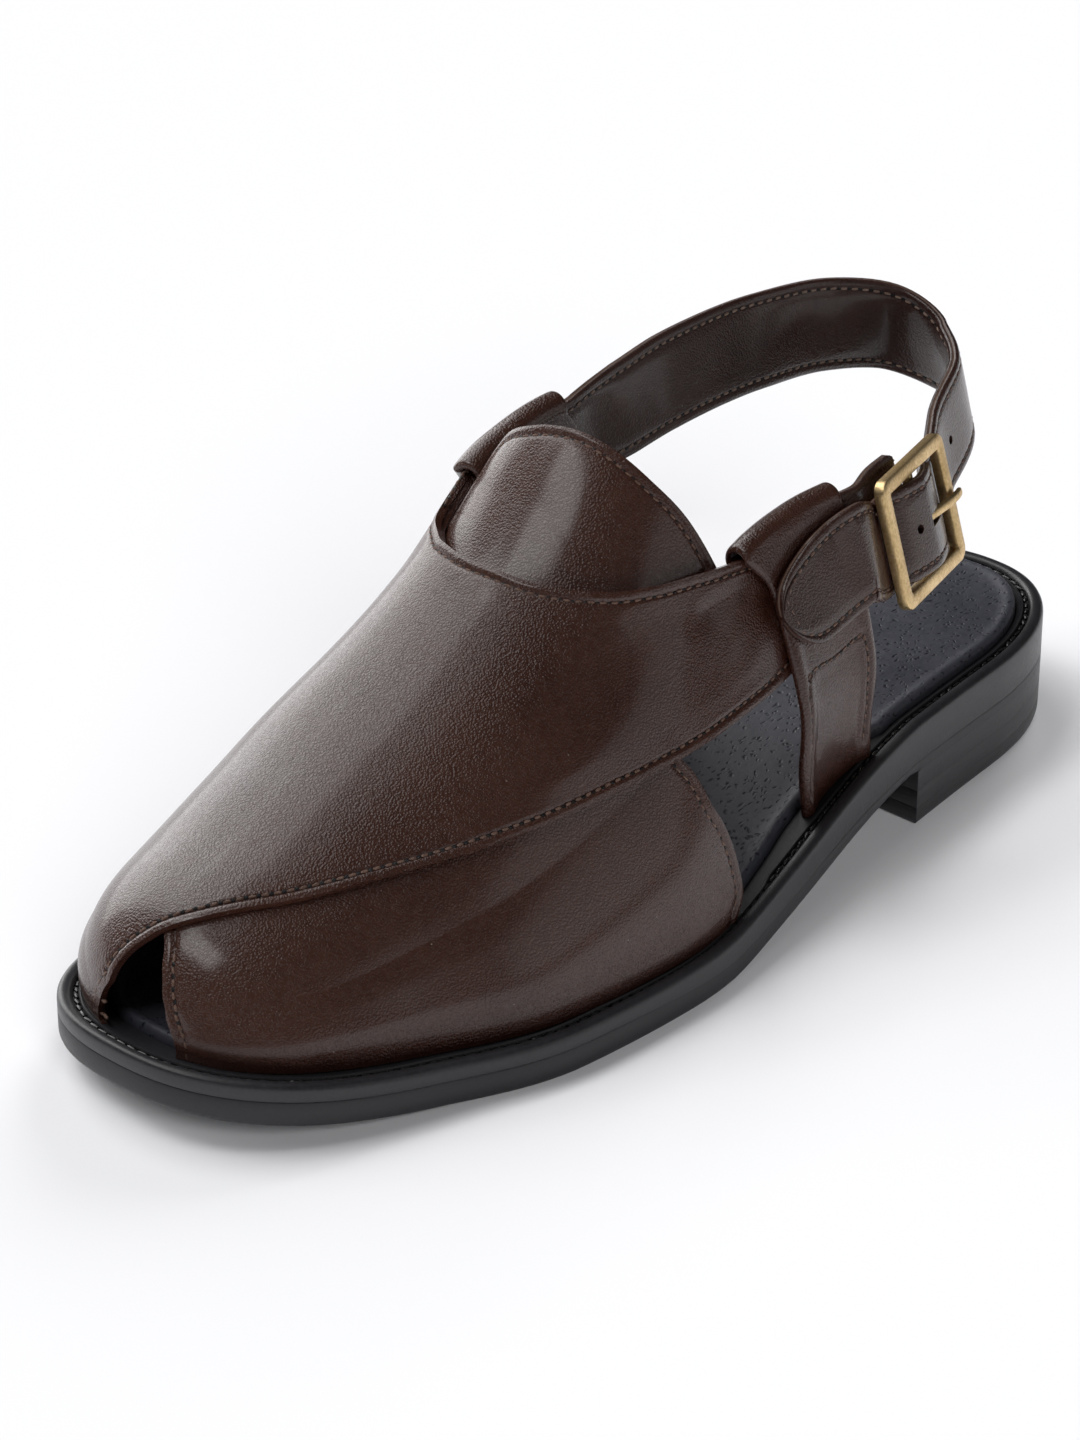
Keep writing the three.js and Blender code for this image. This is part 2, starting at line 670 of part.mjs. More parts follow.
// The heel strap runs from its tip on the lateral sleeve, through the buckle and round the heel
const heelStrapRoute = [
  onLast(0.430, 0.130, outsideSleeve, heelStrapWidth),
  onLast(0.412, 0.127, outsideSleeve, heelStrapWidth),
  onLast(0.385, 0.123, outsideSleeve, heelStrapWidth),
  onLast(0.355, 0.121, outsideSleeve, heelStrapWidth),
  onLast(0.330, 0.121, outsideSleeve + 0.4, heelStrapWidth),
  byBuckle(-barAt - barHold, underBar),
  byBuckle(-barAt + barHold, underBar),
  byBuckle(-barAt / 2, (underBar + overPivot) / 2 + 0.6),
  byBuckle(-1, overPivot),
  byBuckle(1, overPivot),
  byBuckle(barAt / 2, (underBar + overPivot) / 2 + 0.6),
  byBuckle(barAt - barHold, underBar),
  byBuckle(barAt, underBar - 0.4),
  byBuckle(barAt + barHold, underBar - 1.1),
  free(0.1455, 0.3426, 0.2639, 11.1),
  free(0.0658, 0.4048, 0.2849, 12.9),
  free(-0.0549, 0.4334, 0.2965, 14.7),
  free(-0.1857, 0.4239, 0.3118, 4.7),
  free(-0.2719, 0.3773, 0.3212, -9.3),
  free(-0.3083, 0.3057, 0.3261, -17.8),
  free(-0.3199, 0.2594, 0.3266, -18.9),
  free(-0.3252, 0.1969, 0.3241, -17.1),
  free(-0.3232, 0.1437, 0.3183, -12),
  onLast(0.408, 0.793, sleeveMiddle, heelStrapWidth),
  onLast(0.435, 0.789, sleeveMiddle, heelStrapWidth),
  onLast(0.460, 0.786, sleeveMiddle, heelStrapWidth),
];

const bluntness = 0.03;          // of a strap's tip, as the square of its first width

function tipRounding(reach, length) {
  return reach < length ? Math.sqrt(Math.max(1 - (1 - reach / length) ** 2, bluntness)) : 1;
}

// Flat band swept along a route, standing on edge and leaning in at the top by its own angle
function band(route, { width, thickness, substeps, tip = { above: 0, below: 0 } }) {
  const curve = new THREE.CatmullRomCurve3(route.map((r) => r.at), false, 'centripetal');
  const steps = (route.length - 1) * substeps;
  const rings = [];
  let reach = 0;
  for (let k = 0; k <= steps; k++) {
    const i = Math.min(Math.floor(k / substeps), route.length - 2);
    const w = k / substeps - i;
    const at = curve.getPoint(k / steps);
    if (k > 0) reach += at.distanceTo(curve.getPoint((k - 1) / steps));
    const way = curve.getTangent(k / steps);
    const lean = THREE.MathUtils.degToRad(mix(route[i].lean, route[i + 1].lean, w));
    const camber = mix(route[i].camber, route[i + 1].camber, w);
    const inward = new THREE.Vector3(-way.y, way.x, 0).normalize();
    const upward = new THREE.Vector3().crossVectors(way, inward)
      .multiplyScalar(Math.cos(lean))
      .addScaledVector(inward, Math.sin(lean));
    const deep = new THREE.Vector3().crossVectors(upward, way).normalize();
    const [above, below] = [tipRounding(reach, tip.above), tipRounding(reach, tip.below)];
    const corner = (share, d) => at.clone().addScaledVector(upward, (share * width) / 2)
      .addScaledVector(deep, d + camber * share * share).toArray();
    const shares = [-below, -0.4 * below, 0.4 * above, above];
    const outside = shares.map((q) => corner(q, -thickness / 2));
    const inside = shares.map((q) => corner(q, thickness / 2));
    rings.push([...outside, ...inside.reverse()]);
  }
  return loft(rings, { across: backToBackStrips });
}

const heelStrapBand = () => band(heelStrapRoute, {
  width: heelStrapWidth, thickness: heelStrapThickness, substeps: 3, tip: { above: 22, below: 11 },
});

function roundedRing(length, width, radius, perCorner) {
  const ring = [];
  for (let q = 0; q < 4; q++) {
    const [sx, sy] = [[1, 1], [-1, 1], [-1, -1], [1, -1]][q];
    for (let i = 0; i <= perCorner; i++) {
      const a = (Math.PI / 2) * (q + i / perCorner);
      const x = sx * (length / 2 - radius) + radius * Math.cos(a);
      const y = sy * (width / 2 - radius) + radius * Math.sin(a);
      ring.push([x, y]);
    }
  }
  return ring;
}

function buckleFrame() {
  const bevel = 0.8;
  const cornerRadius = 3.2;
  const leastRadius = 0.5;
  const level = (shrink, z) => {
    const radius = Math.max(cornerRadius - shrink, leastRadius);
    const ring = roundedRing(buckleLength - 2 * shrink, buckleWidth - 2 * shrink, radius, 4);
    return ring.map(([a, b]) => [a, b, z]);
  };
  const rings = [
    level(0, -buckleDepth / 2),
    level(0, buckleDepth / 2 - bevel),
    level(bevel, buckleDepth / 2),
    level(buckleBar - bevel, buckleDepth / 2),
    level(buckleBar, buckleDepth / 2 - bevel),
    level(buckleBar, -buckleDepth / 2),
  ];
  return loft(rings, { closed: true });
}

const rodLength = buckleWidth - 2 * buckleBar - 2 * fit;
const buckleBarRod = () => new THREE.CylinderGeometry(pivotBar / 2, pivotBar / 2, rodLength, 12);

// Prong: rises from the middle bar and rests on the rear bar; grown by a clearance it cuts the strap's slot
function prong(grow = 0) {
  const floor = pivotBar / 2 - pivotDrop + fit;
  const over = buckleDepth / 2 + fit + 0.15;
  const height = 1.6;
  const rows = [
    { a: 0.4 - grow, z: floor },
    { a: 3.0, z: floor },
    { a: barAt - barHold, z: over - 0.1 },
    { a: barAt, z: over },
    { a: buckleLength / 2 + 1.2 + grow, z: over - 0.4 },
  ];
  const [w, h] = [prongWidth / 2 + grow, height + grow];
  const rings = rows.map(({ a, z }) => [
    [a, -w, z - grow], [a, -w, z + 0.6 * h], [a, -w / 2, z + h],
    [a, w / 2, z + h], [a, w, z + 0.6 * h], [a, w, z - grow],
  ]);
  return loft(rings, { across: backToBackStrips });
}

const buckleFrameOfReference = new THREE.Matrix4()
  .makeBasis(strapWay, buckleUp, buckleOut)
  .setPosition(buckleAt);

function heelStrap() {
  const slot = prong(fit).applyMatrix4(buckleFrameOfReference);
  return asGeometry(asManifold(heelStrapBand()).subtract(asManifold(slot)));
}

// Chape: short strap from the lateral sleeve to the middle bar, its cut end standing behind the buckle
const chapeRoute = [
  onLast(0.380, 0.134, sleeveMiddle, chapeWidth),
  onLast(0.358, 0.134, sleeveMiddle, chapeWidth),
  onLast(0.335, 0.133, sleeveMiddle, chapeWidth),
  byBuckle(-barAt, behindStrap - 0.4, chapeRise),
  byBuckle(-barAt / 2, behindStrap, chapeRise + 1),
  byBuckle(0, behindPivot, chapeRise + 2),
];

const chape = () => band(chapeRoute, { width: chapeWidth, thickness: chapeThickness, substeps: 3 });

const leatherBrown = new THREE.MeshStandardMaterial({ color: 0x3a221b, roughness: 0.35 });
const rubberBlack = new THREE.MeshStandardMaterial({ color: 0x0b0b0c, roughness: 0.5 });
const liningBlue = new THREE.MeshStandardMaterial({ color: 0x1c2230, roughness: 0.55 });
const brass = new THREE.MeshStandardMaterial({ color: 0x9a7b45, roughness: 0.4, metalness: 1 });

const shoe = new THREE.Group();
const xs = rawLoop.map(([x]) => x);
const centring = -(Math.max(...xs) + Math.min(...xs)) / 2;
shoe.position.x = centring;

function addPiece(name, geometry, material, parent = shoe) {
  const mesh = new THREE.Mesh(geometry, material.clone());
  mesh.name = name;
  parent.add(mesh);
  return mesh;
}

addPiece('outsole', outsole(), rubberBlack);
addPiece('heel', heel(), rubberBlack);
addPiece('welt', welt(), rubberBlack);
addPiece('insole', insole(), liningBlue);
addPiece('upper', upper(), leatherBrown);
addPiece('tongue', tongue(), leatherBrown);
addPiece('side_strap_lateral', sideStrap(1, lateralStrapPlan), leatherBrown);
addPiece('side_strap_medial', sideStrap(-1, medialStrapPlan), leatherBrown);
addPiece('heel_strap', heelStrap(), leatherBrown);
addPiece('chape', chape(), leatherBrown);

const buckle = new THREE.Group();
buckle.applyMatrix4(buckleFrameOfReference);
shoe.add(buckle);
addPiece('buckle_frame', buckleFrame(), brass, buckle);
addPiece('buckle_bar', buckleBarRod(), brass, buckle).position.z = -pivotDrop;
addPiece('buckle_prong', prong(), brass, buckle);

export default shoe;
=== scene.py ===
import bmesh
import bpy
import numpy as np
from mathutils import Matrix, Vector


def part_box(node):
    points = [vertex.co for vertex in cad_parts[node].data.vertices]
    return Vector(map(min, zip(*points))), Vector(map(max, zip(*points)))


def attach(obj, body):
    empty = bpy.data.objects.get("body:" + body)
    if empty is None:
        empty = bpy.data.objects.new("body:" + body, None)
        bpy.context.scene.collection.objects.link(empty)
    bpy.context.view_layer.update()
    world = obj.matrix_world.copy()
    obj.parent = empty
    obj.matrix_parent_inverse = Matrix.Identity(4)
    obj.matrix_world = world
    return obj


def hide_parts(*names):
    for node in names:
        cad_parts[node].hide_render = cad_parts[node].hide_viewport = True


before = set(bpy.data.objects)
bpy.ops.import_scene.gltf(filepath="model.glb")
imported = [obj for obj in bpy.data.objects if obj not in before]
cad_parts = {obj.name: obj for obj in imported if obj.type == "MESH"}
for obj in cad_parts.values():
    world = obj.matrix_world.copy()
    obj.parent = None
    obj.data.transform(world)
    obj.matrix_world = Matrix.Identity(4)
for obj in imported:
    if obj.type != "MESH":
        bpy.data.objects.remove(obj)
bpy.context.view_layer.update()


# Outsole
# Moulded black rubber with toe spring under the toes and a shank that rises to the heel.
# It is one casting; a fine line runs round its side where the upper half of the mould began.
mm = 0.001
sole_length = 292 * mm
ball_width = 103 * mm
toe_spring = 9 * mm
tread_front = 0.76
shank_front = 0.55
heel_breast = 0.275
heel_height = 14.6 * mm
sole_forepart = 10.4 * mm
sole_seat = 12.8 * mm
welt_height = 3.4 * mm


def through(stations, values):
    """Smooth curve through a short table, without overshoot."""
    x = np.array(stations, float)
    y = np.array(values, float)
    slope = np.diff(y) / np.diff(x)
    bend = np.r_[slope[0], np.zeros(len(x) - 2), slope[-1]]
    for i in range(1, len(x) - 1):
        if slope[i - 1] * slope[i] > 0:
            bend[i] = 2 * slope[i - 1] * slope[i] / (slope[i - 1] + slope[i])

    def curve(at):
        q = np.clip(at, x[0], x[-1])
        i = np.clip(np.searchsorted(x, q, side="right") - 1, 0, len(x) - 2)
        h = x[i + 1] - x[i]
        t = (q - x[i]) / h
        base = y[i] * (1 + 2 * t) * (1 - t) ** 2 + y[i + 1] * t * t * (3 - 2 * t)
        return base + h * t * (1 - t) * (bend[i] * (1 - t) - bend[i + 1] * t)

    return curve


def smooth(t):
    t = np.clip(t, 0, 1)
    return t * t * (3 - 2 * t)


def mix(a, b, t):
    return a + (b - a) * t


def round_end(u, power):
    return np.maximum(1 - np.clip(u, 0, 1) ** power, 0) ** (1 / power)


outline_stations = [0, 0.12, 0.20, 0.33, 0.47, 0.60, 0.72, 0.84, 1.0]
lateral_half = through(outline_stations, [0.325, 0.335, 0.352, 0.396, 0.462, 0.522, 0.535, 0.485, 0.470])
medial_half = through(outline_stations, [0.330, 0.325, 0.325, 0.308, 0.330, 0.422, 0.448, 0.450, 0.470])
heel_round_from = 0.16
toe_round_from = 0.72


def sole_edge(side, s):
    middle = mix(-1.5 * mm * (1 - smooth(s / 0.3)), -8 * mm, smooth((s - 0.55) / 0.35))
    half = lateral_half(s) if side > 0 else medial_half(s)
    ends = round_end((heel_round_from - s) / heel_round_from, 2.2)
    ends = ends * round_end((s - toe_round_from) / (1 - toe_round_from), 2.4)
    return middle + side * half * ball_width * ends


def tread_height(s):
    u = np.clip((shank_front - s) / (shank_front - heel_breast), 0, 1)
    spring = toe_spring * np.clip((s - tread_front) / (1 - tread_front), 0, 1.1) ** 1.8
    return spring + heel_height * (0.55 * u * u * (3 - 2 * u) + 0.45 * u)


def rim_height(s):
    return tread_height(s) + mix(sole_seat, sole_forepart, smooth((s - 0.28) / 0.4))


loop_half = 120
loop_stations = (1 - np.cos(np.pi * np.arange(loop_half + 1) / loop_half)) / 2
sole_loop = np.array(
    [(sole_edge(1, s), sole_length * (0.5 - s)) for s in loop_stations]
    + [(sole_edge(-1, s), sole_length * (0.5 - s)) for s in loop_stations[-2:0:-1]]
)
loop_sides = np.r_[np.ones(loop_half + 1), -np.ones(loop_half - 1)]
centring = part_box("outsole")[0].x - sole_loop[:, 0].min()


def inset_loop(inset):
    run = np.roll(sole_loop, -1, 0) - np.roll(sole_loop, 1, 0)
    inward = np.stack([run[:, 1], -run[:, 0]], 1) / np.hypot(*run.T)[:, None]
    amount = inset(0.5 - sole_loop[:, 1] / sole_length, loop_sides) if callable(inset) else inset
    return sole_loop + inward * np.reshape(amount, (-1, 1))


def ring_at(inset, height):
    loop = inset_loop(inset)
    return np.column_stack([loop, height(0.5 - loop[:, 1] / sole_length)])


def grid_faces(rows, columns, wrap_rows=False, wrap_columns=False, start=0):
    r = np.arange(rows if wrap_rows else rows - 1)[:, None]
    c = np.arange(columns if wrap_columns else columns - 1)[None, :]
    r2 = (r + 1) % rows
    c2 = (c + 1) % columns
    quads = np.stack([r * columns + c, r * columns + c2, r2 * columns + c2, r2 * columns + c], -1)
    return (quads.reshape(-1, 4) + start).tolist()


def cap_faces(count, start):
    """Strips across a ring that is symmetric about its first point."""
    faces = [[start, start + 1, start + count - 1]]
    for k in range(1, count // 2):
        strip = [k, k + 1, count - k - 1, count - k]
        faces.append([start + i for i in dict.fromkeys(strip)])
    return faces


def stack_faces(rings, count):
    """Sides of a stack of rings, then its first and last ring closed."""
    sides = grid_faces(rings, count, wrap_columns=True)
    return sides + cap_faces(count, 0) + cap_faces(count, (rings - 1) * count)


def dressed(name, points, faces, finishes, nodes=(), which=None, crease=38, weld=0.0):
    """Makes one piece of the shoe from points in the sole's own frame."""
    mesh = bpy.data.meshes.new(name)
    placed = np.asarray(points, float).reshape(-1, 3) + [centring, 0, 0]
    mesh.from_pydata(placed.tolist(), [], faces)
    for finish in finishes:
        mesh.materials.append(finish)
    if which is not None:
        mesh.polygons.foreach_set("material_index", np.asarray(which, np.int32))
    shape = bmesh.new()
    shape.from_mesh(mesh)
    if weld:
        bmesh.ops.remove_doubles(shape, verts=shape.verts, dist=weld)
    bmesh.ops.recalc_face_normals(shape, faces=shape.faces)
    shape.to_mesh(mesh)
    shape.free()
    mesh.shade_smooth()
    mesh.set_sharp_from_angle(angle=np.radians(crease))
    made = bpy.data.objects.new(name, mesh)
    bpy.context.scene.collection.objects.link(made)
    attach(made, "root")
    if nodes:
        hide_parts(*nodes)
    return made


def node(tree, kind, inputs=None, **settings):
    made = tree.nodes.new(kind)
    for key, value in settings.items():
        setattr(made, key, value)
    for key, value in (inputs or {}).items():
        if hasattr(value, "is_output"):
            tree.links.new(value, made.inputs[key])
        else:
            made.inputs[key].default_value = value
    return made


def effect(name, inputs, outputs):
    """A node group with named inputs and outputs, each input with its usual value."""
    tree = bpy.data.node_groups.new(name, "ShaderNodeTree")
    for label, usual in inputs.items():
        kind = "NodeSocketColor" if isinstance(usual, tuple) else "NodeSocketFloat"
        socket = tree.interface.new_socket(label, in_out="INPUT", socket_type=kind)
        socket.default_value = usual
    for label, kind in outputs.items():
        tree.interface.new_socket(label, in_out="OUTPUT", socket_type=kind)
    return tree, tree.nodes.new("NodeGroupInput").outputs, tree.nodes.new("NodeGroupOutput").inputs


def speckle_effect():
    """Slow changes of tone and finer cloudiness, as any handled surface has."""
    tree, given, out = effect(
        "cloudy_tone", {"Broad": 20.0, "Fine": 300.0, "Weight": 0.35}, {"Tone": "NodeSocketFloat"}
    )
    place = node(tree, "ShaderNodeTexCoord").outputs["Object"]
    broad = node(tree, "ShaderNodeTexNoise", {"Vector": place, "Scale": given["Broad"], "Detail": 3.0})
    fine = node(tree, "ShaderNodeTexNoise", {"Vector": place, "Scale": given["Fine"], "Detail": 4.0})
    blend = node(
        tree,
        "ShaderNodeMix",
        {"Factor": given["Weight"], "A": broad.outputs["Fac"], "B": fine.outputs["Fac"]},
    )
    spread = node(
        tree, "ShaderNodeMapRange", {"Value": blend.outputs["Result"], "From Min": 0.35, "From Max": 0.65}
    )
    tree.links.new(spread.outputs["Result"], out["Tone"])
    return tree


cloudy_tone = speckle_effect()


def finish_base(name):
    made = bpy.data.materials.new(name)
    made.use_nodes = True
    tree = made.node_tree
    return made, tree, tree.nodes["Principled BSDF"]


def use_effect(tree, group, **values):
    made = tree.nodes.new("ShaderNodeGroup")
    made.node_tree = group
    for key, value in values.items():
        socket = made.inputs[key]
        if hasattr(value, "is_output"):
            tree.links.new(value, socket)
        else:
            socket.default_value = value
    return made.outputs


def toned(tree, tone, dark, light):
    """Colour between two tones."""
    made = node(tree, "ShaderNodeMix", {"Factor": tone}, data_type="RGBA")
    made.inputs["A"].default_value = (*dark, 1)
    made.inputs["B"].default_value = (*light, 1)
    return made.outputs["Result"]


def ranged(tree, value, low, high):
    return node(tree, "ShaderNodeMapRange", {"Value": value, "To Min": low, "To Max": high}).outputs["Result"]


def bumped(tree, surface, height, distance, strength=1.0):
    made = node(tree, "ShaderNodeBump", {"Height": height, "Distance": distance, "Strength": strength})
    tree.links.new(made.outputs["Normal"], surface.inputs["Normal"])
    return made


def rubber_finish(name, dark, light, gloss, grain, streaks=0.0):
    made, tree, surface = finish_base(name)
    tone = use_effect(tree, cloudy_tone, Broad=28.0, Fine=900.0, Weight=0.5)["Tone"]
    tree.links.new(toned(tree, tone, dark, light), surface.inputs["Base Color"])
    tree.links.new(ranged(tree, tone, gloss - 0.05, gloss + 0.09), surface.inputs["Roughness"])
    surface.inputs["Specular IOR Level"].default_value = 0.5
    place = node(tree, "ShaderNodeTexCoord").outputs["Object"]
    stretch = node(tree, "ShaderNodeMapping", {"Vector": place, "Scale": (1, 1, 1 + streaks)})
    fine = node(
        tree,
        "ShaderNodeTexNoise",
        {"Vector": stretch.outputs["Vector"], "Scale": 160.0 if streaks else 1400.0, "Detail": 5.0},
    )
    bumped(tree, surface, fine.outputs["Fac"], grain)
    return made


sole_rubber = rubber_finish("sole_rubber", (0.012, 0.0115, 0.014), (0.023, 0.022, 0.026), 0.42, 0.04 * mm)
line_above_tread = through([0, 0.25, 0.40, 0.55, 0.75, 1.0], [2.0, 2.4, 4.2, 5.4, 6.4, 6.2])
line_shows = through([0, 0.30, 0.40, 0.47, 0.60, 0.68, 1.0], [1, 0.8, 1, 0.1, 0.05, 0.9, 1])


def side_line(s):
    return tread_height(s) + line_above_tread(s) * mm


def line_depth(s, side):
    return 0.16 * mm * line_shows(s)


def tread_edge(amount):
    return lambda s, side: amount * mm * smooth((s - heel_breast) / 0.012)


outsole_rings = [
    ring_at(tread_edge(1.5), tread_height),
    ring_at(tread_edge(0.75), lambda s: tread_height(s) + 0.25 * mm),
    ring_at(tread_edge(0.25), lambda s: tread_height(s) + 0.7 * mm),
    ring_at(0.0, lambda s: tread_height(s) + 1.4 * mm),
    ring_at(0.0, lambda s: side_line(s) - 0.3 * mm),
    ring_at(line_depth, side_line),
    ring_at(6 * mm, side_line),
]
ring_count = 2 * loop_half
dressed(
    "outsole",
    np.vstack(outsole_rings),
    stack_faces(len(outsole_rings), ring_count),
    [sole_rubber],
    ["outsole"],
)


# Heel
# Low block of the same black rubber, moulded to look like three burnished lifts.
# Its side runs flush into the sole above it, and its breast is cut straight across.
heel_rubber = rubber_finish(
    "heel_rubber", (0.016, 0.015, 0.018), (0.034, 0.033, 0.037), 0.40, 0.10 * mm, streaks=9.0
)
heel_seam = 0.04 * mm
heel_columns = 70


def heel_ring(inset, height):
    loop = inset_loop(inset)
    lateral = loop[: loop_half + 1]
    medial = np.vstack([loop[:1], loop[loop_half:][::-1]])
    share = 1 - np.cos(np.pi * np.arange(heel_columns + 1) / (2 * heel_columns))
    back_y = loop[0, 1]
    y = mix(back_y, sole_length * (0.5 - heel_breast) + inset, share)
    x_lateral = np.interp(-y, -lateral[:, 1], lateral[:, 0])
    x_medial = np.interp(-y, -medial[:, 1], medial[:, 0])
    x = np.r_[x_lateral, x_medial[:0:-1]]
    z = np.full(len(x), height)
    return np.column_stack([x, np.r_[y, y[:0:-1]], z])


heel_levels = [
    (1.4, 0.0),
    (0.7, 0.15),
    (0.3, 0.6),
    (0.1, 1.4),
    (0.06, 4.4),
    (0.16, 4.6),
    (0.06, 4.8),
    (0.02, 9.0),
    (0.12, 9.2),
    (0.02, 9.4),
    (0.0, 14.0),
]
heel_rings = [heel_ring(inset * mm, height * mm) for inset, height in heel_levels]
heel_rings.append(heel_ring(0.0, heel_height - heel_seam))
heel_count = 2 * heel_columns + 1
dressed(
    "heel",
    np.vstack(heel_rings),
    stack_faces(len(heel_rings), heel_count),
    [heel_rubber],
    ["heel"],
)


# Welt
# Rubber rim moulded round the top of the sole: a broad satin ridge, then a sunk bed that holds a
# run of waxed black stitches, then a thin lip against which the leather is drawn down.
welt_bed = 3.35
foot_stations = [0.26, 0.323, 0.37, 0.416, 0.46, 0.53, 0.61, 0.76, 0.90, 1.0]
lateral_foot = through(foot_stations, [6.0, 6.2, 7.8, 8.0, 6.8, 5.6, 6.4, 8.0, 8.8, 9.4])
medial_foot = through(foot_stations, [6.0, 6.2, 7.4, 7.6, 7.2, 7.1, 7.1, 7.2, 7.4, 9.4])


def foot_inset(s, side):
    return np.where(side > 0, lateral_foot(s), medial_foot(s)) * mm


def welt_width(s, side):
    return np.maximum(6.5 * mm, (foot_inset(s, side) + 2 * mm) * smooth((s - 0.27) / 0.04))


def lip_at(s, side):
    layers = np.where(side > 0, 1.5, 3.0) * mm * smooth((s - 0.45) / 0.05)
    return np.clip(foot_inset(s, side) - layers - 0.7 * mm, 4.2 * mm, 5.1 * mm)


def below_rim(drop):
    return lambda s: rim_height(s) - drop * mm


def from_lip(offset):
    return lambda s, side: lip_at(s, side) + offset * mm


welt_profile = [
    (line_depth, lambda s: side_line(s) + 0.02 * mm),
    (0.0, lambda s: side_line(s) + 0.3 * mm),
    (0.0, below_rim(1.7)),
    (0.10 * mm, below_rim(1.0)),
    (0.40 * mm, below_rim(0.45)),
    (0.95 * mm, below_rim(0.12)),
    (1.7 * mm, below_rim(0.0)),
    (2.5 * mm, below_rim(0.08)),
    (3.0 * mm, below_rim(0.35)),
    (welt_bed * mm, below_rim(1.0)),
    (welt_bed * mm + 0.1 * mm, below_rim(1.55)),
    (from_lip(-0.5), below_rim(1.6)),
    (from_lip(-0.3), below_rim(1.0)),
    (from_lip(-0.1), below_rim(0.62)),
    (from_lip(0.2), below_rim(0.6)),
    (from_lip(0.42), below_rim(0.95)),
    (from_lip(0.5), below_rim(1.25)),
    (welt_width, below_rim(1.25)),
    (welt_width, below_rim(3.3)),
]
bed_rows = range(9, 12)
welt_rings = [ring_at(inset, height) for inset, height in welt_profile]
unevenness = np.random.default_rng(7)
for row in (10, 11):
    welt_rings[row][:, 2] += unevenness.normal(0, 0.10 * mm, ring_count)
welt_faces = grid_faces(len(welt_rings), ring_count, wrap_rows=True, wrap_columns=True)
welt_which = [1 if i // ring_count in bed_rows else 0 for i in range(len(welt_faces))]
welt_rubber = rubber_finish("welt_rubber", (0.020, 0.019, 0.022), (0.034, 0.033, 0.037), 0.38, 0.05 * mm)
# The sunk bed gets far darker rubber than the ridge: painted shade in the groove.
bed_painted_shade = rubber_finish("welt_bed", (0.006, 0.006, 0.007), (0.016, 0.016, 0.017), 0.24, 0.35 * mm)
dressed(
    "welt", np.vstack(welt_rings), welt_faces, [welt_rubber, bed_painted_shade], ["welt"], welt_which
)


def bead(length, width, height, around=8, along=6):
    """A closed oval bead, as one stitch of thread makes: points and faces."""
    ring = np.linspace(0, 2 * np.pi, around, endpoint=False)
    rise = np.linspace(0, np.pi, along + 1)[1:-1]
    points = [[-length / 2, 0, 0]]
    for a in rise:
        reach = np.sin(a) ** 0.6
        for b in ring:
            side = reach * np.cos(b) * width / 2
            points.append([-np.cos(a) * length / 2, side, reach * np.sin(b) * height])
    points.append([length / 2, 0, 0])
    faces = [[0, 1 + (k + 1) % around, 1 + k] for k in range(around)]
    faces += grid_faces(along - 1, around, wrap_columns=True, start=1)
    last = len(points) - 1
    faces += [[last, last - around + k, last - around + (k + 1) % around] for k in range(around)]
    return np.array(points), faces


def strewn(template, places, ways, ups, tilt=None, lift=0.0):
    """Copies of a template at many places, each laid along its own way and facing its own up."""
    points, faces = template
    across = np.cross(ups, ways)
    across /= np.linalg.norm(across, axis=1, keepdims=True)
    if tilt is not None:
        turned = ways * np.cos(tilt)[:, None] + across * np.sin(tilt)[:, None]
        across = across * np.cos(tilt)[:, None] - ways * np.sin(tilt)[:, None]
        ways = turned
    all_points = []
    all_faces = []
    for i in range(len(places)):
        basis = np.stack([ways[i], across[i], ups[i]])
        all_points.append(points @ basis + places[i] + ups[i] * lift)
        all_faces += [[v + i * len(points) for v in face] for face in faces]
    return np.vstack(all_points), all_faces


def even_places(path, pitch, closed=False):
    """Places at an even pitch along a path, with the way the path runs there and their share of it."""
    path = np.vstack([path, path[:1]]) if closed else path
    steps = np.linalg.norm(np.diff(path, axis=0), axis=1)
    reach = np.r_[0, np.cumsum(steps)]
    count = max(int(round(reach[-1] / pitch)), 1)
    at = (np.arange(count) + 0.5) * reach[-1] / count
    places = np.stack([np.interp(at, reach, path[:, k]) for k in range(3)], 1)
    ahead = np.stack([np.interp(at + 0.2 * mm, reach, path[:, k]) for k in range(3)], 1)
    behind = np.stack([np.interp(at - 0.2 * mm, reach, path[:, k]) for k in range(3)], 1)
    ways = ahead - behind
    return places, ways / np.linalg.norm(ways, axis=1, keepdims=True), at / reach[-1]


bed_path = ring_at(lambda s, side: (welt_bed * mm + lip_at(s, side)) / 2 - 0.1 * mm, below_rim(1.35))
bed_places, bed_ways, _ = even_places(bed_path, 3.1 * mm, closed=True)
bed_tilt = unevenness.normal(0.10, 0.16, len(bed_places))
bed_ups = np.tile([0.0, 0.0, 1.0], (len(bed_places), 1))
waxed_thread = rubber_finish("waxed_thread", (0.010, 0.010, 0.011), (0.030, 0.029, 0.030), 0.20, 0.12 * mm)
welt_stitches = dressed(
    "welt_stitches",
    *strewn(bead(2.7 * mm, 0.95 * mm, 0.5 * mm), bed_places, bed_ways, bed_ups, bed_tilt),
    [waxed_thread],
)


# Insole
# Footbed of foam under a blue-black lining with the pores of pigskin. It is skived and rolled
# over at its edge, and pressed down inside the welt.


def footbed(extra, rise):
    return (
        lambda s, side: welt_width(s, side) + (0.3 + extra) * mm,
        lambda s: rim_height(s) - welt_height + rise * mm,
    )


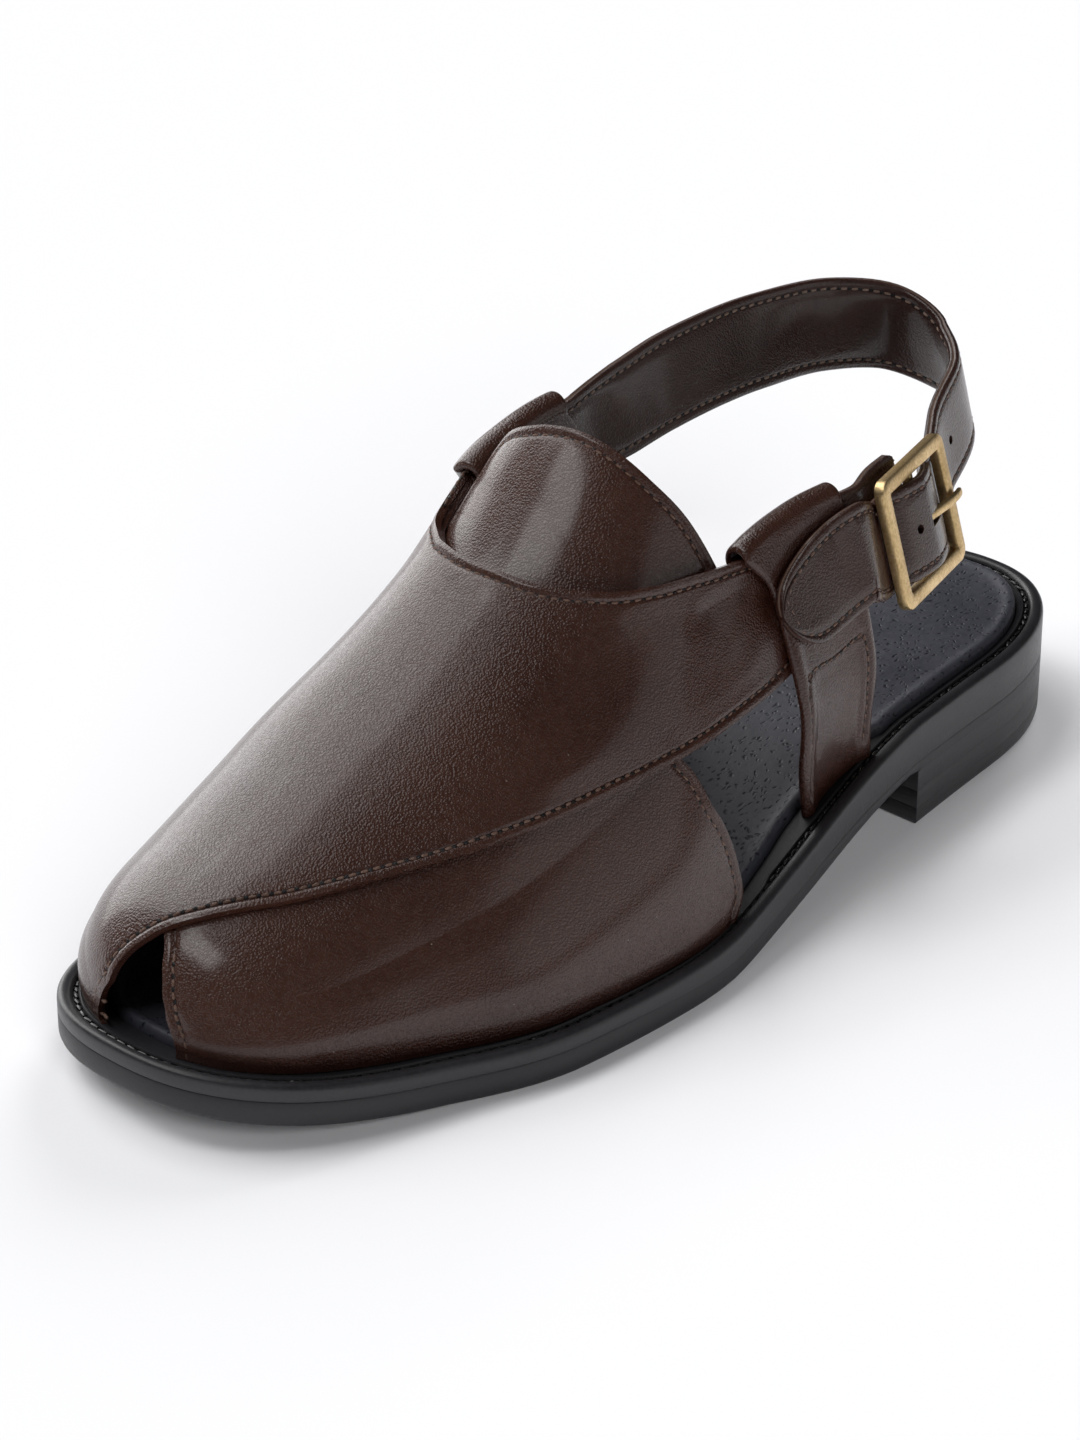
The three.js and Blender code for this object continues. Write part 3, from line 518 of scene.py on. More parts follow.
panel_crease = 60
insole_profile = [
    footbed(0.10, 0.35),
    footbed(0.0, 2.2),
    footbed(0.06, 3.3),
    footbed(0.3, 4.1),
    footbed(0.75, 4.6),
    footbed(1.3, 4.8),
    footbed(1.9, 4.75),
    footbed(2.6, 4.5),
    footbed(3.4, 4.2),
    footbed(4.6, 4.05),
    footbed(7, 4.1),
    footbed(11, 4.25),
    footbed(16, 4.3),
    footbed(21, 4.3),
]
insole_rings = [ring_at(inset, height) for inset, height in insole_profile]
for depth, ring in enumerate(insole_rings[8:]):
    ripple = np.sin(ring[:, 0] * 310 + 1.7) * np.sin(ring[:, 1] * 190 + 0.4)
    ring[:, 2] += 0.12 * mm * ripple + unevenness.normal(0, 0.02 * mm, ring_count)


def lining_finish():
    made, tree, surface = finish_base("pored_lining")
    place = node(tree, "ShaderNodeTexCoord").outputs["Object"]
    tone = use_effect(tree, cloudy_tone, Broad=35.0, Fine=700.0, Weight=0.4)["Tone"]
    drawn = node(tree, "ShaderNodeMapping", {"Vector": place, "Scale": (1.0, 0.62, 1.0)})
    warp = node(tree, "ShaderNodeTexNoise", {"Vector": place, "Scale": 120.0})
    shifted = node(tree, "ShaderNodeMix", data_type="VECTOR")
    shifted.inputs["Factor"].default_value = 0.006
    tree.links.new(drawn.outputs["Vector"], shifted.inputs["A"])
    tree.links.new(warp.outputs["Color"], shifted.inputs["B"])
    pores = node(
        tree,
        "ShaderNodeTexVoronoi",
        {"Vector": shifted.outputs["Result"], "Scale": 760.0, "Randomness": 0.85},
    )
    pit = node(
        tree,
        "ShaderNodeMapRange",
        {"Value": pores.outputs["Distance"], "From Min": 0.10, "From Max": 0.34},
    )
    skin = toned(tree, tone, (0.050, 0.052, 0.068), (0.082, 0.084, 0.104))
    pored = node(tree, "ShaderNodeMix", {"Factor": pit.outputs["Result"], "B": skin}, data_type="RGBA")
    pored.inputs["A"].default_value = (0.008, 0.009, 0.016, 1)
    tree.links.new(pored.outputs["Result"], surface.inputs["Base Color"])
    tree.links.new(ranged(tree, tone, 0.42, 0.58), surface.inputs["Roughness"])
    wrinkle = node(
        tree, "ShaderNodeTexNoise", {"Vector": drawn.outputs["Vector"], "Scale": 420.0, "Detail": 4.0}
    )
    height = node(
        tree,
        "ShaderNodeMix",
        {"Factor": 0.45, "A": pit.outputs["Result"], "B": wrinkle.outputs["Fac"]},
    )
    bumped(tree, surface, height.outputs["Result"], 0.30 * mm)
    return made


insole = dressed(
    "insole",
    np.vstack(insole_rings),
    stack_faces(len(insole_rings), ring_count),
    [lining_finish()],
    ["insole"],
    crease=panel_crease,
)


# Upper
# Two panels of dark brown pebbled leather, edges turned under and stitched, lasted over the foot.
# The front one covers the medial side and the toe and crosses over the under one to the buckle side.
instep_height = 98 * mm
last_fullness = 2.17
wall_bulge = 2.2 * mm
groove_depth = 1.2 * mm
fit = 0.3 * mm
last_stations = [0.26, 0.40, 0.50, 0.60, 0.70, 0.80, 0.88, 1.0]
last_height = through(last_stations, [1.16, 1.12, 1.00, 0.76, 0.59, 0.455, 0.39, 0.38])
last_ridge = through(last_stations, [-0.100, -0.135, -0.150, -0.132, -0.128, -0.128, -0.130, -0.136])
last_full = through(last_stations, [1.12, 1.10, 1.07, 1.01, 1.00, 0.99, 1.00, 1.02])
feather = inset_loop(foot_inset)
feather_toe = 0.5 - feather[loop_half, 1] / sole_length
feather_lateral = feather[: loop_half + 1]
feather_medial = np.vstack([feather[:1], feather[loop_half:][::-1]])


def last_point(s, t):
    """Point of the last: s from heel to toe, t from the lateral foot over the ridge to the medial one."""
    y = sole_length * (0.5 - s)
    lateral = np.interp(-y, -feather_lateral[:, 1], feather_lateral[:, 0])
    medial = np.interp(-y, -feather_medial[:, 1], feather_medial[:, 0])
    middle = (lateral + medial) / 2
    half = (lateral - medial) / 2
    power = 2 / (last_fullness * last_full(s))
    angle = np.pi * np.clip(t, 0, 1)
    across = np.sign(np.cos(angle)) * np.abs(np.cos(angle)) ** power
    up = np.abs(np.sin(angle)) ** power
    toe = round_end((s - toe_round_from) / (feather_toe - toe_round_from), 2.4)
    lean = (last_ridge(s) * ball_width - middle) * toe
    swell = wall_bulge * np.sin(np.pi * np.clip(up / 0.5, 0, 1)) * np.sign(np.cos(angle)) * toe
    x = middle + half * across + lean * up + swell
    z = rim_height(s) - groove_depth + fit + last_height(s) * instep_height * up * toe
    return np.stack([x, y + 0 * x, z], -1)


def last_frame(s, t):
    """Point of the last, the way up over it, and its outward normal."""
    s = np.asarray(s, float)
    t = np.asarray(t, float)
    e = 0.004
    ahead = np.minimum(s + e, feather_toe - 0.0005)
    along = last_point(ahead, t) - last_point(s - e, t)
    over = last_point(s, np.minimum(t + e, 0.9995)) - last_point(s, np.maximum(t - e, 0.0005))
    over /= np.linalg.norm(over, axis=-1, keepdims=True)
    out = np.cross(along, over)
    out /= np.linalg.norm(out, axis=-1, keepdims=True)
    facing = out[..., 0] * np.cos(np.pi * t) + 0.6 * out[..., 2]
    out *= np.where(facing < 0, -1, 1)[..., None]
    out[..., 2] *= smooth(np.minimum(t, 1 - t) / 0.04)
    out /= np.linalg.norm(out, axis=-1, keepdims=True)
    return last_point(s, t), over, out


def off_last(point, out, distance):
    p = point + out * np.asarray(distance)[..., None]
    floor = rim_height(0.5 - p[..., 1] / sole_length) - groove_depth + 0.05 * mm
    p[..., 2] = np.maximum(p[..., 2], floor)
    return p


crossing_edge = through(
    [0.085, 0.089, 0.099, 0.116, 0.134, 0.161, 0.201, 0.246]
    + [0.299, 0.359, 0.421, 0.481, 0.516, 0.589, 0.671, 1.0],
    [0.390, 0.426, 0.466, 0.514, 0.548, 0.597, 0.689, 0.765]
    + [0.833, 0.885, 0.918, 0.937, 0.947, 0.957, 0.962, 0.965],
)
collar_edge = through(
    [0.079, 0.160, 0.181, 0.219, 0.254, 0.319, 0.391, 0.436]
    + [0.499, 0.566, 0.599, 0.644, 0.664, 0.684, 0.710, 0.900],
    [0.386, 0.394, 0.431, 0.483, 0.519, 0.559, 0.585, 0.593]
    + [0.597, 0.589, 0.579, 0.562, 0.548, 0.518, 0.482, 0.470],
)
side_edge = through(
    [0.000, 0.011, 0.029, 0.066, 0.086, 0.119, 0.136, 0.220, 0.340],
    [0.531, 0.519, 0.522, 0.531, 0.538, 0.545, 0.551, 0.566, 0.568],
)
toe_edge = through(
    [0.000, 0.184, 0.339, 0.416, 0.456, 0.520, 0.650],
    [0.9645, 0.964, 0.960, 0.952, 0.942, 0.925, 0.880],
)


def front_back(t):
    turned = smooth((t - 0.685) / 0.035)
    return mix(collar_edge(t), np.maximum(side_edge(1 - t), collar_edge(t)), turned)


def under_back(t):
    return 0.002 + np.where(t < 0.34, np.maximum(side_edge(t), collar_edge(t)), collar_edge(t))


def under_front(t):
    return np.minimum(crossing_edge(1 - t), toe_edge(t))


def edge_line(t_from, t_to, edge, distance, count=420):
    """A panel's edge as a line in space, with the outward normals along it."""
    t = np.linspace(t_from, t_to, count)
    point, _, out = last_frame(edge(t), t)
    return off_last(point, out, np.full(count, distance)), out


def distance_to(points, line):
    """Distance of each point from a line of many short pieces."""
    start = line[:-1]
    run = np.diff(line, axis=0)
    size = np.maximum((run * run).sum(1), 1e-16)
    nearest = np.empty(len(points))
    for k in range(0, len(points), 1500):
        some = points[k : k + 1500, None, :] - start[None]
        share = np.clip((some * run[None]).sum(2) / size, 0, 1)
        gap = some - share[..., None] * run[None]
        nearest[k : k + 1500] = np.sqrt((gap * gap).sum(2).min(1))
    return nearest


def ends_dense(count, share=0.62):
    k = np.linspace(0, 1, count)
    return mix(k, (1 - np.cos(np.pi * k)) / 2, share)


stitch_in = 2.35 * mm


def turned_edge(e):
    """Relief beside a turned and stitched edge: a soft roll, then the channel of the stitches."""
    roll = 0.28 * mm * np.exp(-(((e - 1.15 * mm) / (0.8 * mm)) ** 2))
    channel = -0.42 * mm * np.exp(-(((e - stitch_in) / (0.42 * mm)) ** 2))
    return roll + channel


def rounded_edge(e, half):
    u = 1 - np.clip(e / (1.15 * half), 0, 1)
    return np.sqrt(np.maximum(1 - u * u, 0))


def shell_faces(rows, columns):
    """Outer and inner grid of the same size, joined along their border."""
    count = rows * columns
    outer = grid_faces(rows, columns)
    inner = [face[::-1] for face in grid_faces(rows, columns, start=count)]
    border = [r * columns for r in range(rows)]
    border += [(rows - 1) * columns + c for c in range(1, columns)]
    border += [r * columns + columns - 1 for r in range(rows - 2, -1, -1)]
    border += list(range(columns - 2, 0, -1))
    joined = [[a, b, b + count, a + count] for a, b in zip(border, border[1:] + border[:1])]
    return outer + inner + joined


def lasted_panel(t_range, back, front, low, high, relief, edges, count=(300, 120)):
    """Points of a leather panel drawn over the last, with its real edges rounded."""
    t = np.linspace(*t_range, count[0])
    w = ends_dense(count[1])
    s = mix(back(t)[:, None], front(t)[:, None], w[None, :])
    over = np.broadcast_to(t[:, None], s.shape)
    point, _, out = last_frame(s, over)
    middle = (low + high) / 2
    half = (high - low) / 2
    laid = off_last(point, out, np.full(s.shape, middle)).reshape(-1, 3)
    e = np.minimum.reduce([distance_to(laid, line) for line in edges]).reshape(s.shape)
    round_off = rounded_edge(e, half)
    outer = off_last(point, out, middle + half * round_off + relief(point, s, over, e))
    inner = off_last(point, out, middle - half * round_off)
    return np.vstack([outer.reshape(-1, 3), inner.reshape(-1, 3)]), shell_faces(*s.shape)


def soft_fold(point, start, end, width, depth):
    """A long soft trough, or a ridge with a negative depth, between two places on the last."""
    a = last_point(np.array(start[0]), np.array(start[1]))
    b = last_point(np.array(end[0]), np.array(end[1]))
    run = b - a
    share = ((point - a) @ run) / (run @ run)
    gap = np.linalg.norm(point - a - np.clip(share, 0, 1)[..., None] * run, axis=-1)
    fade = np.exp(-((np.maximum(np.abs(share - 0.5) - 0.3, 0) / 0.25) ** 2))
    return -depth * fade * np.exp(-((gap / width) ** 2))


front_folds = [
    ((0.40, 0.165), (0.50, 0.190), 3.2 * mm, 0.8 * mm),
    ((0.43, 0.128), (0.56, 0.150), 5.0 * mm, -0.4 * mm),
    ((0.46, 0.215), (0.64, 0.270), 6.0 * mm, 0.4 * mm),
    ((0.52, 0.160), (0.66, 0.215), 7.0 * mm, -0.4 * mm),
    ((0.62, 0.420), (0.74, 0.470), 16.0 * mm, 0.5 * mm),
]


def front_relief(point, s, t, e):
    folds = sum(soft_fold(point, *fold) for fold in front_folds)
    slow = 0.16 * mm * np.sin(point[..., 1] * 95 + 2.1) * np.sin(point[..., 0] * 120 + t * 9)
    return turned_edge(e) + (folds + slow) * smooth((e - 2 * mm) / (6 * mm))


def under_relief(point, s, t, e):
    slow = 0.14 * mm * np.sin(point[..., 1] * 80 + 0.6) * np.sin(point[..., 2] * 150)
    dip = soft_fold(point, (0.60, 0.02), (0.90, 0.02), 3.5 * mm, 0.5 * mm)
    return turned_edge(e) + (slow + dip) * smooth((e - 2 * mm) / (5 * mm))


def pebble_effect():
    """Embossed pebble grain: small rounded cells with finer skin between them."""
    tree, given, out = effect(
        "pebble_grain",
        {"Cells": 2000.0, "Skin": 0.3},
        {"Height": "NodeSocketFloat", "Dust": "NodeSocketFloat"},
    )
    place = node(tree, "ShaderNodeTexCoord").outputs["Object"]
    cells = node(
        tree, "ShaderNodeTexVoronoi", {"Vector": place, "Scale": given["Cells"]}, feature="SMOOTH_F1"
    )
    cells.inputs["Smoothness"].default_value = 0.45
    dome = node(
        tree,
        "ShaderNodeMapRange",
        {"Value": cells.outputs["Distance"], "From Min": 0.0, "From Max": 0.75, "To Min": 1.0, "To Max": 0.0},
    )
    skin = node(
        tree, "ShaderNodeTexNoise", {"Vector": place, "Scale": 900.0, "Detail": 6.0, "Roughness": 0.6}
    )
    height = node(
        tree,
        "ShaderNodeMix",
        {"Factor": given["Skin"], "A": dome.outputs["Result"], "B": skin.outputs["Fac"]},
    )
    tree.links.new(height.outputs["Result"], out["Height"])
    specks = node(tree, "ShaderNodeTexVoronoi", {"Vector": place, "Scale": 170.0})
    dust = node(
        tree,
        "ShaderNodeMapRange",
        {"Value": specks.outputs["Distance"], "From Min": 0.035, "From Max": 0.02},
    )
    tree.links.new(dust.outputs["Result"], out["Dust"])
    return tree


pebble_grain = pebble_effect()


def leather_finish(name, dark, light, rough, cells, depth, dust=0.0):
    made, tree, surface = finish_base(name)
    tone = use_effect(tree, cloudy_tone, Broad=22.0, Fine=420.0, Weight=0.35)["Tone"]
    grain = use_effect(tree, pebble_grain, Cells=cells)
    skin = toned(tree, tone, dark, light)
    dusty = node(tree, "ShaderNodeMath", {0: grain["Dust"], 1: dust}, operation="MULTIPLY").outputs[0]
    speckled = node(tree, "ShaderNodeMix", {"Factor": dusty, "A": skin}, data_type="RGBA")
    speckled.inputs["B"].default_value = (0.45, 0.38, 0.33, 1)
    tree.links.new(speckled.outputs["Result"], surface.inputs["Base Color"])
    tree.links.new(ranged(tree, tone, rough - 0.05, rough + 0.06), surface.inputs["Roughness"])
    surface.inputs["Specular IOR Level"].default_value = 0.4
    surface.inputs["Coat Weight"].default_value = 0.5
    surface.inputs["Coat Roughness"].default_value = 0.18
    bumped(tree, surface, grain["Height"], depth)
    return made


upper_leather = leather_finish(
    "upper_leather", (0.044, 0.0128, 0.0068), (0.076, 0.0270, 0.0160), 0.32, 2000.0, 0.24 * mm, dust=0.6
)


def thread_finish(name, dark, light):
    made, tree, surface = finish_base(name)
    tone = use_effect(tree, cloudy_tone, Broad=300.0, Fine=2600.0, Weight=0.6)["Tone"]
    tree.links.new(toned(tree, tone, dark, light), surface.inputs["Base Color"])
    tree.links.new(ranged(tree, tone, 0.45, 0.65), surface.inputs["Roughness"])
    place = node(tree, "ShaderNodeTexCoord").outputs["Object"]
    twist = node(tree, "ShaderNodeTexWave", {"Vector": place, "Scale": 900.0, "Distortion": 3.0})
    bumped(tree, surface, twist.outputs["Fac"], 0.05 * mm)
    return made


brown_thread = thread_finish("brown_thread", (0.12, 0.062, 0.044), (0.25, 0.15, 0.11))
# Needle holes are not cut: a flat black bead on the leather paints the shade inside each hole.
needle_hole_shade = thread_finish("needle_hole_shade", (0.004, 0.002, 0.002), (0.010, 0.006, 0.005))
thread_bead = bead(1.65 * mm, 0.74 * mm, 0.40 * mm)
hole_shade_bead = bead(1.1 * mm, 1.0 * mm, 0.16 * mm, along=4)


def seam_line(line, outs, inset, toward):
    """A line moved in from an edge over the surface, towards a point of the panel."""
    way = np.gradient(line, axis=0)
    inward = np.cross(outs, way)
    inward /= np.linalg.norm(inward, axis=1, keepdims=True)
    flip = np.sign(((toward - line) * inward).sum(1))
    return line + inward * (inset * np.where(flip == 0, 1, flip))[:, None]


def stitched(name, seams, pitch=2.7 * mm, sink=0.42 * mm, threads=None):
    """Rows of stitches: a bead of thread, then a flat black bead of painted shade for the needle hole, on
    every seam given.
    """
    points = []
    faces = []
    which = []
    count = 0
    for line, outs in seams:
        for template, shift, lift, finish in ((thread_bead, 0.0, 0.0, 0), (hole_shade_bead, 0.5, 0.06 * mm, 1)):
            places, ways, share = even_places(line, pitch)
            if shift:
                places = (places[1:] + places[:-1]) / 2
                ways = ways[1:]
                share = (share[1:] + share[:-1]) / 2
            at = share * (len(outs) - 1)
            ups = np.stack([np.interp(at, np.arange(len(outs)), outs[:, k]) for k in range(3)], 1)
            ups /= np.linalg.norm(ups, axis=1, keepdims=True)
            tilt = unevenness.normal(0.10, 0.05, len(places))
            made, joined = strewn(template, places - ups * sink, ways, ups, tilt, lift)
            points.append(made)
            faces += [[v + count for v in face] for face in joined]
            which += [finish] * len(joined)
            count += len(made)
    row = dressed(name, np.vstack(points), faces, [threads or brown_thread, needle_hole_shade], which=which)
    return row


leather = 1.5 * mm
panel_weld = 0.002 * mm
front_high = 2 * leather
crossing_line, crossing_outs = edge_line(0.085, 0.999, crossing_edge, front_high)
collar_line, collar_outs = edge_line(0.165, 0.999, front_back, front_high)
dressed(
    "front_panel",
    *lasted_panel(
        (0.085, 1.0),
        front_back,
        crossing_edge,
        leather,
        front_high,
        front_relief,
        [crossing_line, collar_line],
    ),
    [upper_leather],
    ["upper"],
    weld=panel_weld,
    crease=panel_crease,
)
side_line_of_under, side_outs = edge_line(0.0, 0.35, under_back, leather)
toe_line, toe_outs = edge_line(0.0, 0.62, under_front, leather)
dressed(
    "under_panel",
    *lasted_panel(
        (0.0, 0.86),
        under_back,
        under_front,
        0.0,
        leather - 0.05 * mm,
        under_relief,
        [side_line_of_under, toe_line],
    ),
    [upper_leather],
    ["upper"],
    weld=panel_weld,
    crease=panel_crease,
)


def trimmed(line, outs, start, end):
    count = len(line)
    keep = slice(int(start * count), int(end * count))
    return line[keep], outs[keep]


vamp_middle = last_point(np.array(0.72), np.array(0.5))
upper_seams = [
    (seam_line(crossing_line, crossing_outs, stitch_in, vamp_middle), crossing_outs),
    (seam_line(collar_line, collar_outs, stitch_in, vamp_middle), collar_outs),
]
stitched("front_panel_stitches", upper_seams)
under_middle = last_point(np.array(0.75), np.array(0.06))
side_seam = seam_line(side_line_of_under, side_outs, stitch_in, under_middle)
toe_seam = seam_line(toe_line, toe_outs, stitch_in, under_middle)
stitched(
    "under_panel_stitches",
    [trimmed(side_seam, side_outs, 0.01, 0.42), trimmed(toe_seam, toe_outs, 0.01, 0.72)],
)


# Tongue
# Half-round tab of the same leather, turned and stitched round its edge.
# Its root goes down under the collar, where it is sewn to the front panel.
tongue_edge = through(
    [0.196, 0.254, 0.326, 0.399, 0.474, 0.556, 0.620, 0.645, 0.655, 0.661],
    [0.456, 0.467, 0.483, 0.494, 0.502, 0.509, 0.508, 0.516, 0.530, 0.545],
)
tongue_range = (0.196, 0.661)
tongue_high = -0.6 * mm
tongue_low = -2.6 * mm


def tongue_root(t):
    return collar_edge(t) + 0.035


def tongue_side(t_at):
    s = np.linspace(float(tongue_edge(np.array(t_at))), float(tongue_root(np.array(t_at))), 60)
    point, _, out = last_frame(s, np.full(60, t_at))
    return off_last(point, out, np.full(60, tongue_high)), out


tongue_line, tongue_outs = edge_line(*tongue_range, tongue_edge, tongue_high)
dressed(
    "tongue",
    *lasted_panel(
        tongue_range,
        tongue_edge,
        tongue_root,
        tongue_low,
        tongue_high,
        lambda point, s, t, e: turned_edge(e),
        [tongue_line, tongue_side(tongue_range[0])[0], tongue_side(tongue_range[1])[0]],
        count=(200, 60),
    ),
    [upper_leather],
    ["tongue"],
    weld=panel_weld,
    crease=panel_crease,
)
tongue_middle = last_point(np.array(0.56), np.array(0.45))
stitched(
    "tongue_stitches",
    [trimmed(seam_line(tongue_line, tongue_outs, stitch_in, tongue_middle), tongue_outs, 0.03, 0.97)],
)


# Side straps
# One on each side, of the same leather: it rises from the welt over the panels' ends, folds over
# at the top on a soft roll and comes back down inside, so that its top is a sleeve for the strap.
strap_thick = 2.2 * mm
sleeve_gap = 4.0 * mm
sleeve_return = 26 * mm
outer_leaf = 4.6 * mm
inner_leaf = -1.25 * mm
sleeve_middle = 1.5 * mm
foot_tuck = 4.3 * mm
foot_tuck_share = 0.38


def side_strap(side, plan, crest, relief):
    """Points of a side strap: up from its foot, over the crest and down inside."""
    rises, fronts, backs = plan
    front_at = through(rises, fronts)
    back_at = through(rises, backs)
    top_front, top_back = crest
    across = ends_dense(72, 0.8)
    rise = ((np.arange(111) / 110) ** 1.15)[:-1]
    turn = np.linspace(0, np.pi, 30)
    down = np.linspace(0, 1, 30)[1:]
    rows = []
    outs = []
    thicks = []
    shares = []

    def frame_at(share, w):
        top = mix(top_back, top_front, w)
        s = mix(back_at(share), front_at(share), w)
        t = top * share if side > 0 else 1 - top * share
        return last_frame(s, t)

    for share in rise:
        point, _, out = frame_at(np.full_like(across, share), across)
        tuck = foot_tuck * (1 - smooth(share / foot_tuck_share))
        rows.append(off_last(point, out, np.full_like(across, outer_leaf - tuck)))
        outs.append(out)
        thicks.append(strap_thick)
        shares.append(share)
    top_point, top_over, top_out = frame_at(np.ones_like(across), across)
    centre = top_point + top_out * sleeve_middle
    up = top_over * side
    for a in turn:
        thick = mix(strap_thick, leather, a / np.pi)
        arm = top_out * np.cos(a) + up * np.sin(a)
        rows.append(centre + arm * (sleeve_gap / 2 + thick / 2))
        outs.append(arm)
        thicks.append(thick)
        shares.append(1 + a / np.pi)
    foot_point = frame_at(np.zeros_like(across), across)[0]
    length = np.linalg.norm(foot_point - top_point, axis=1)
    for step in down:
        point, _, out = frame_at(1 - step * sleeve_return / length, across)
        rows.append(off_last(point, out, np.full_like(across, inner_leaf)))
        outs.append(-out)
        thicks.append(leather)
        shares.append(2 + step)
    middle = np.stack(rows)
    outward = np.stack(outs)
    half = np.array(thicks)[:, None] / 2
    share = np.array(shares)[:, None]
    sideways = np.minimum(
        np.linalg.norm(middle - middle[:, :1], axis=2), np.linalg.norm(middle - middle[:, -1:], axis=2)
    )
    climb = np.r_[0, np.cumsum(np.linalg.norm(np.diff(middle[:, 36], axis=0), axis=1))]
    e = np.minimum(sideways, (climb[-1] - climb)[:, None])
    round_off = rounded_edge(e, half)
    outer = middle + outward * (half * round_off + relief(middle, share, e))[..., None]
    inner = middle - outward * (half * round_off)[..., None]
    return np.vstack([outer.reshape(-1, 3), inner.reshape(-1, 3)]), shell_faces(*e.shape)


lateral_plan = (
    [0.0, 0.20, 0.45, 0.75, 1.0],
    [0.412, 0.423, 0.424, 0.422, 0.442],
    [0.324, 0.329, 0.331, 0.329, 0.333],
)
medial_plan = ([0.0, 0.25, 0.60, 1.0], [0.462, 0.474, 0.494, 0.528], [0.352, 0.360, 0.388, 0.429])


def strap_seam(stops, distance, count=200):
    """A seam over the lateral strap through stops given along and over the last."""
    stops = np.array(stops)
    reach = np.r_[0, np.cumsum(np.hypot(np.diff(stops[:, 0]) * 3, np.diff(stops[:, 1])))]
    at = np.linspace(0, reach[-1], count)
    s = through(reach, stops[:, 0])(at)
    t = through(reach, stops[:, 1])(at)
    point, _, out = last_frame(s, t)
    top = np.interp(s, [0.333, 0.442], [0.163, 0.186])
    tuck = foot_tuck * (1 - smooth(t / top / foot_tuck_share))
    return off_last(point, out, distance - tuck), out


seam_stops = [
    [(0.413, 0.079), (0.409, 0.081), (0.369, 0.074), (0.341, 0.074)],
    [(0.414, 0.076), (0.416, 0.069), (0.416, 0.054), (0.413, 0.034), (0.410, 0.019), (0.408, 0.006)],
    [(0.341, 0.074), (0.340, 0.059), (0.340, 0.044), (0.338, 0.029), (0.336, 0.008)],
]
seam_lines = [strap_seam(stops, outer_leaf)[0] for stops in seam_stops]
seam_depth = 0.35 * mm
strap_crease = 70


def plain_relief(middle, share, e):
    """A slightly puffed edge and the slow waves of handled leather, gone at the crest."""
    puff = 0.25 * mm * np.exp(-(((e - 1.9 * mm) / (1.2 * mm)) ** 2))
    slow = 0.12 * mm * np.sin(middle[..., 2] * 150 + 1.0) * np.sin(middle[..., 1] * 130)
    return (puff + slow * smooth((e - 2 * mm) / (4 * mm))) * smooth((1.0 - share) / 0.15)


def strap_relief(middle, share, e):
    """Puffed edges outside the stitches, a sunk field inside them, and their channel."""
    flat = middle.reshape(-1, 3)
    gap = np.minimum.reduce([distance_to(flat, line) for line in seam_lines]).reshape(e.shape)
    low = smooth((0.80 - share) / 0.1)
    inside = smooth((e - 4.2 * mm) / (1.4 * mm)) * smooth((0.44 - share) / 0.05)
    puff = 0.5 * mm * np.exp(-(((e - 2.0 * mm) / (1.5 * mm)) ** 2)) * low
    channel = np.exp(-((gap / (0.45 * mm)) ** 2)) * low
    wave = 0.2 * mm * np.sin(middle[..., 2] * 210 + 0.6) * smooth((e - 5 * mm) / (3 * mm)) * low
    return (puff - 0.4 * mm * inside + wave) * (1 - channel) - seam_depth * channel


dressed(
    "side_strap_lateral",
    *side_strap(1, lateral_plan, (0.186, 0.163), strap_relief),
    [upper_leather],
    ["side_strap_lateral"],
    crease=strap_crease,
)
dressed(
    "side_strap_medial",
    *side_strap(-1, medial_plan, (0.329, 0.262), plain_relief),
    [upper_leather],
    ["side_strap_medial"],
    crease=strap_crease,
)


strap_seams = [strap_seam(stops, outer_leaf + strap_thick / 2) for stops in seam_stops]
stitched("side_strap_stitches", strap_seams, sink=seam_depth)


# Buckle
# Cast brass, left plain and gone dull: a square ring, a thin bar across its middle and a prong
# that turns on the bar and rests on the ring behind it.
buckle_length = 34 * mm
buckle_width = 31.6 * mm
buckle_face = 3.6 * mm
buckle_depth = 2.8 * mm
pivot_bar = 2.6 * mm
pivot_drop = 1.0 * mm
prong_width = 2.4 * mm
buckle_at = np.array([0.289 * ball_width, 0.253 * sole_length, 0.2515 * sole_length])
buckle_turn = np.radians(-15)
buckle_lean = np.radians(15)
strap_way = np.array([np.sin(buckle_turn), np.cos(buckle_turn), 0])
buckle_out = np.array([np.cos(buckle_turn), -np.sin(buckle_turn), 0]) * np.cos(buckle_lean)
buckle_out = buckle_out + [0, 0, np.sin(buckle_lean)]
buckle_up = np.cross(buckle_out, strap_way)


def in_buckle(points):
    """Points given along the strap, up and out from the middle of the buckle."""
    return np.asarray(points) @ np.stack([strap_way, buckle_up, buckle_out]) + buckle_at


def brass_finish():
    made, tree, surface = finish_base("aged_brass")
    tone = use_effect(tree, cloudy_tone, Broad=130.0, Fine=1500.0, Weight=0.5)["Tone"]
    tree.links.new(toned(tree, tone, (0.50, 0.345, 0.155), (0.82, 0.61, 0.33)), surface.inputs["Base Color"])
    tree.links.new(ranged(tree, tone, 0.46, 0.36), surface.inputs["Roughness"])
    surface.inputs["Metallic"].default_value = 1.0
    place = node(tree, "ShaderNodeTexCoord").outputs["Object"]
    fine = node(tree, "ShaderNodeTexNoise", {"Vector": place, "Scale": 900.0, "Detail": 5.0})
    bumped(tree, surface, fine.outputs["Fac"], 0.06 * mm)
    return made


aged_brass = brass_finish()


def rounded_ring(length, width, radius, per_corner=10):
    ring = []
    for q, (sx, sy) in enumerate([(1, 1), (-1, 1), (-1, -1), (1, -1)]):
        for i in range(per_corner + 1):
            a = np.pi / 2 * (q + i / per_corner)
            along = sx * (length / 2 - radius) + radius * np.cos(a)
            ring.append([along, sy * (width / 2 - radius) + radius * np.sin(a)])
    return np.array(ring)


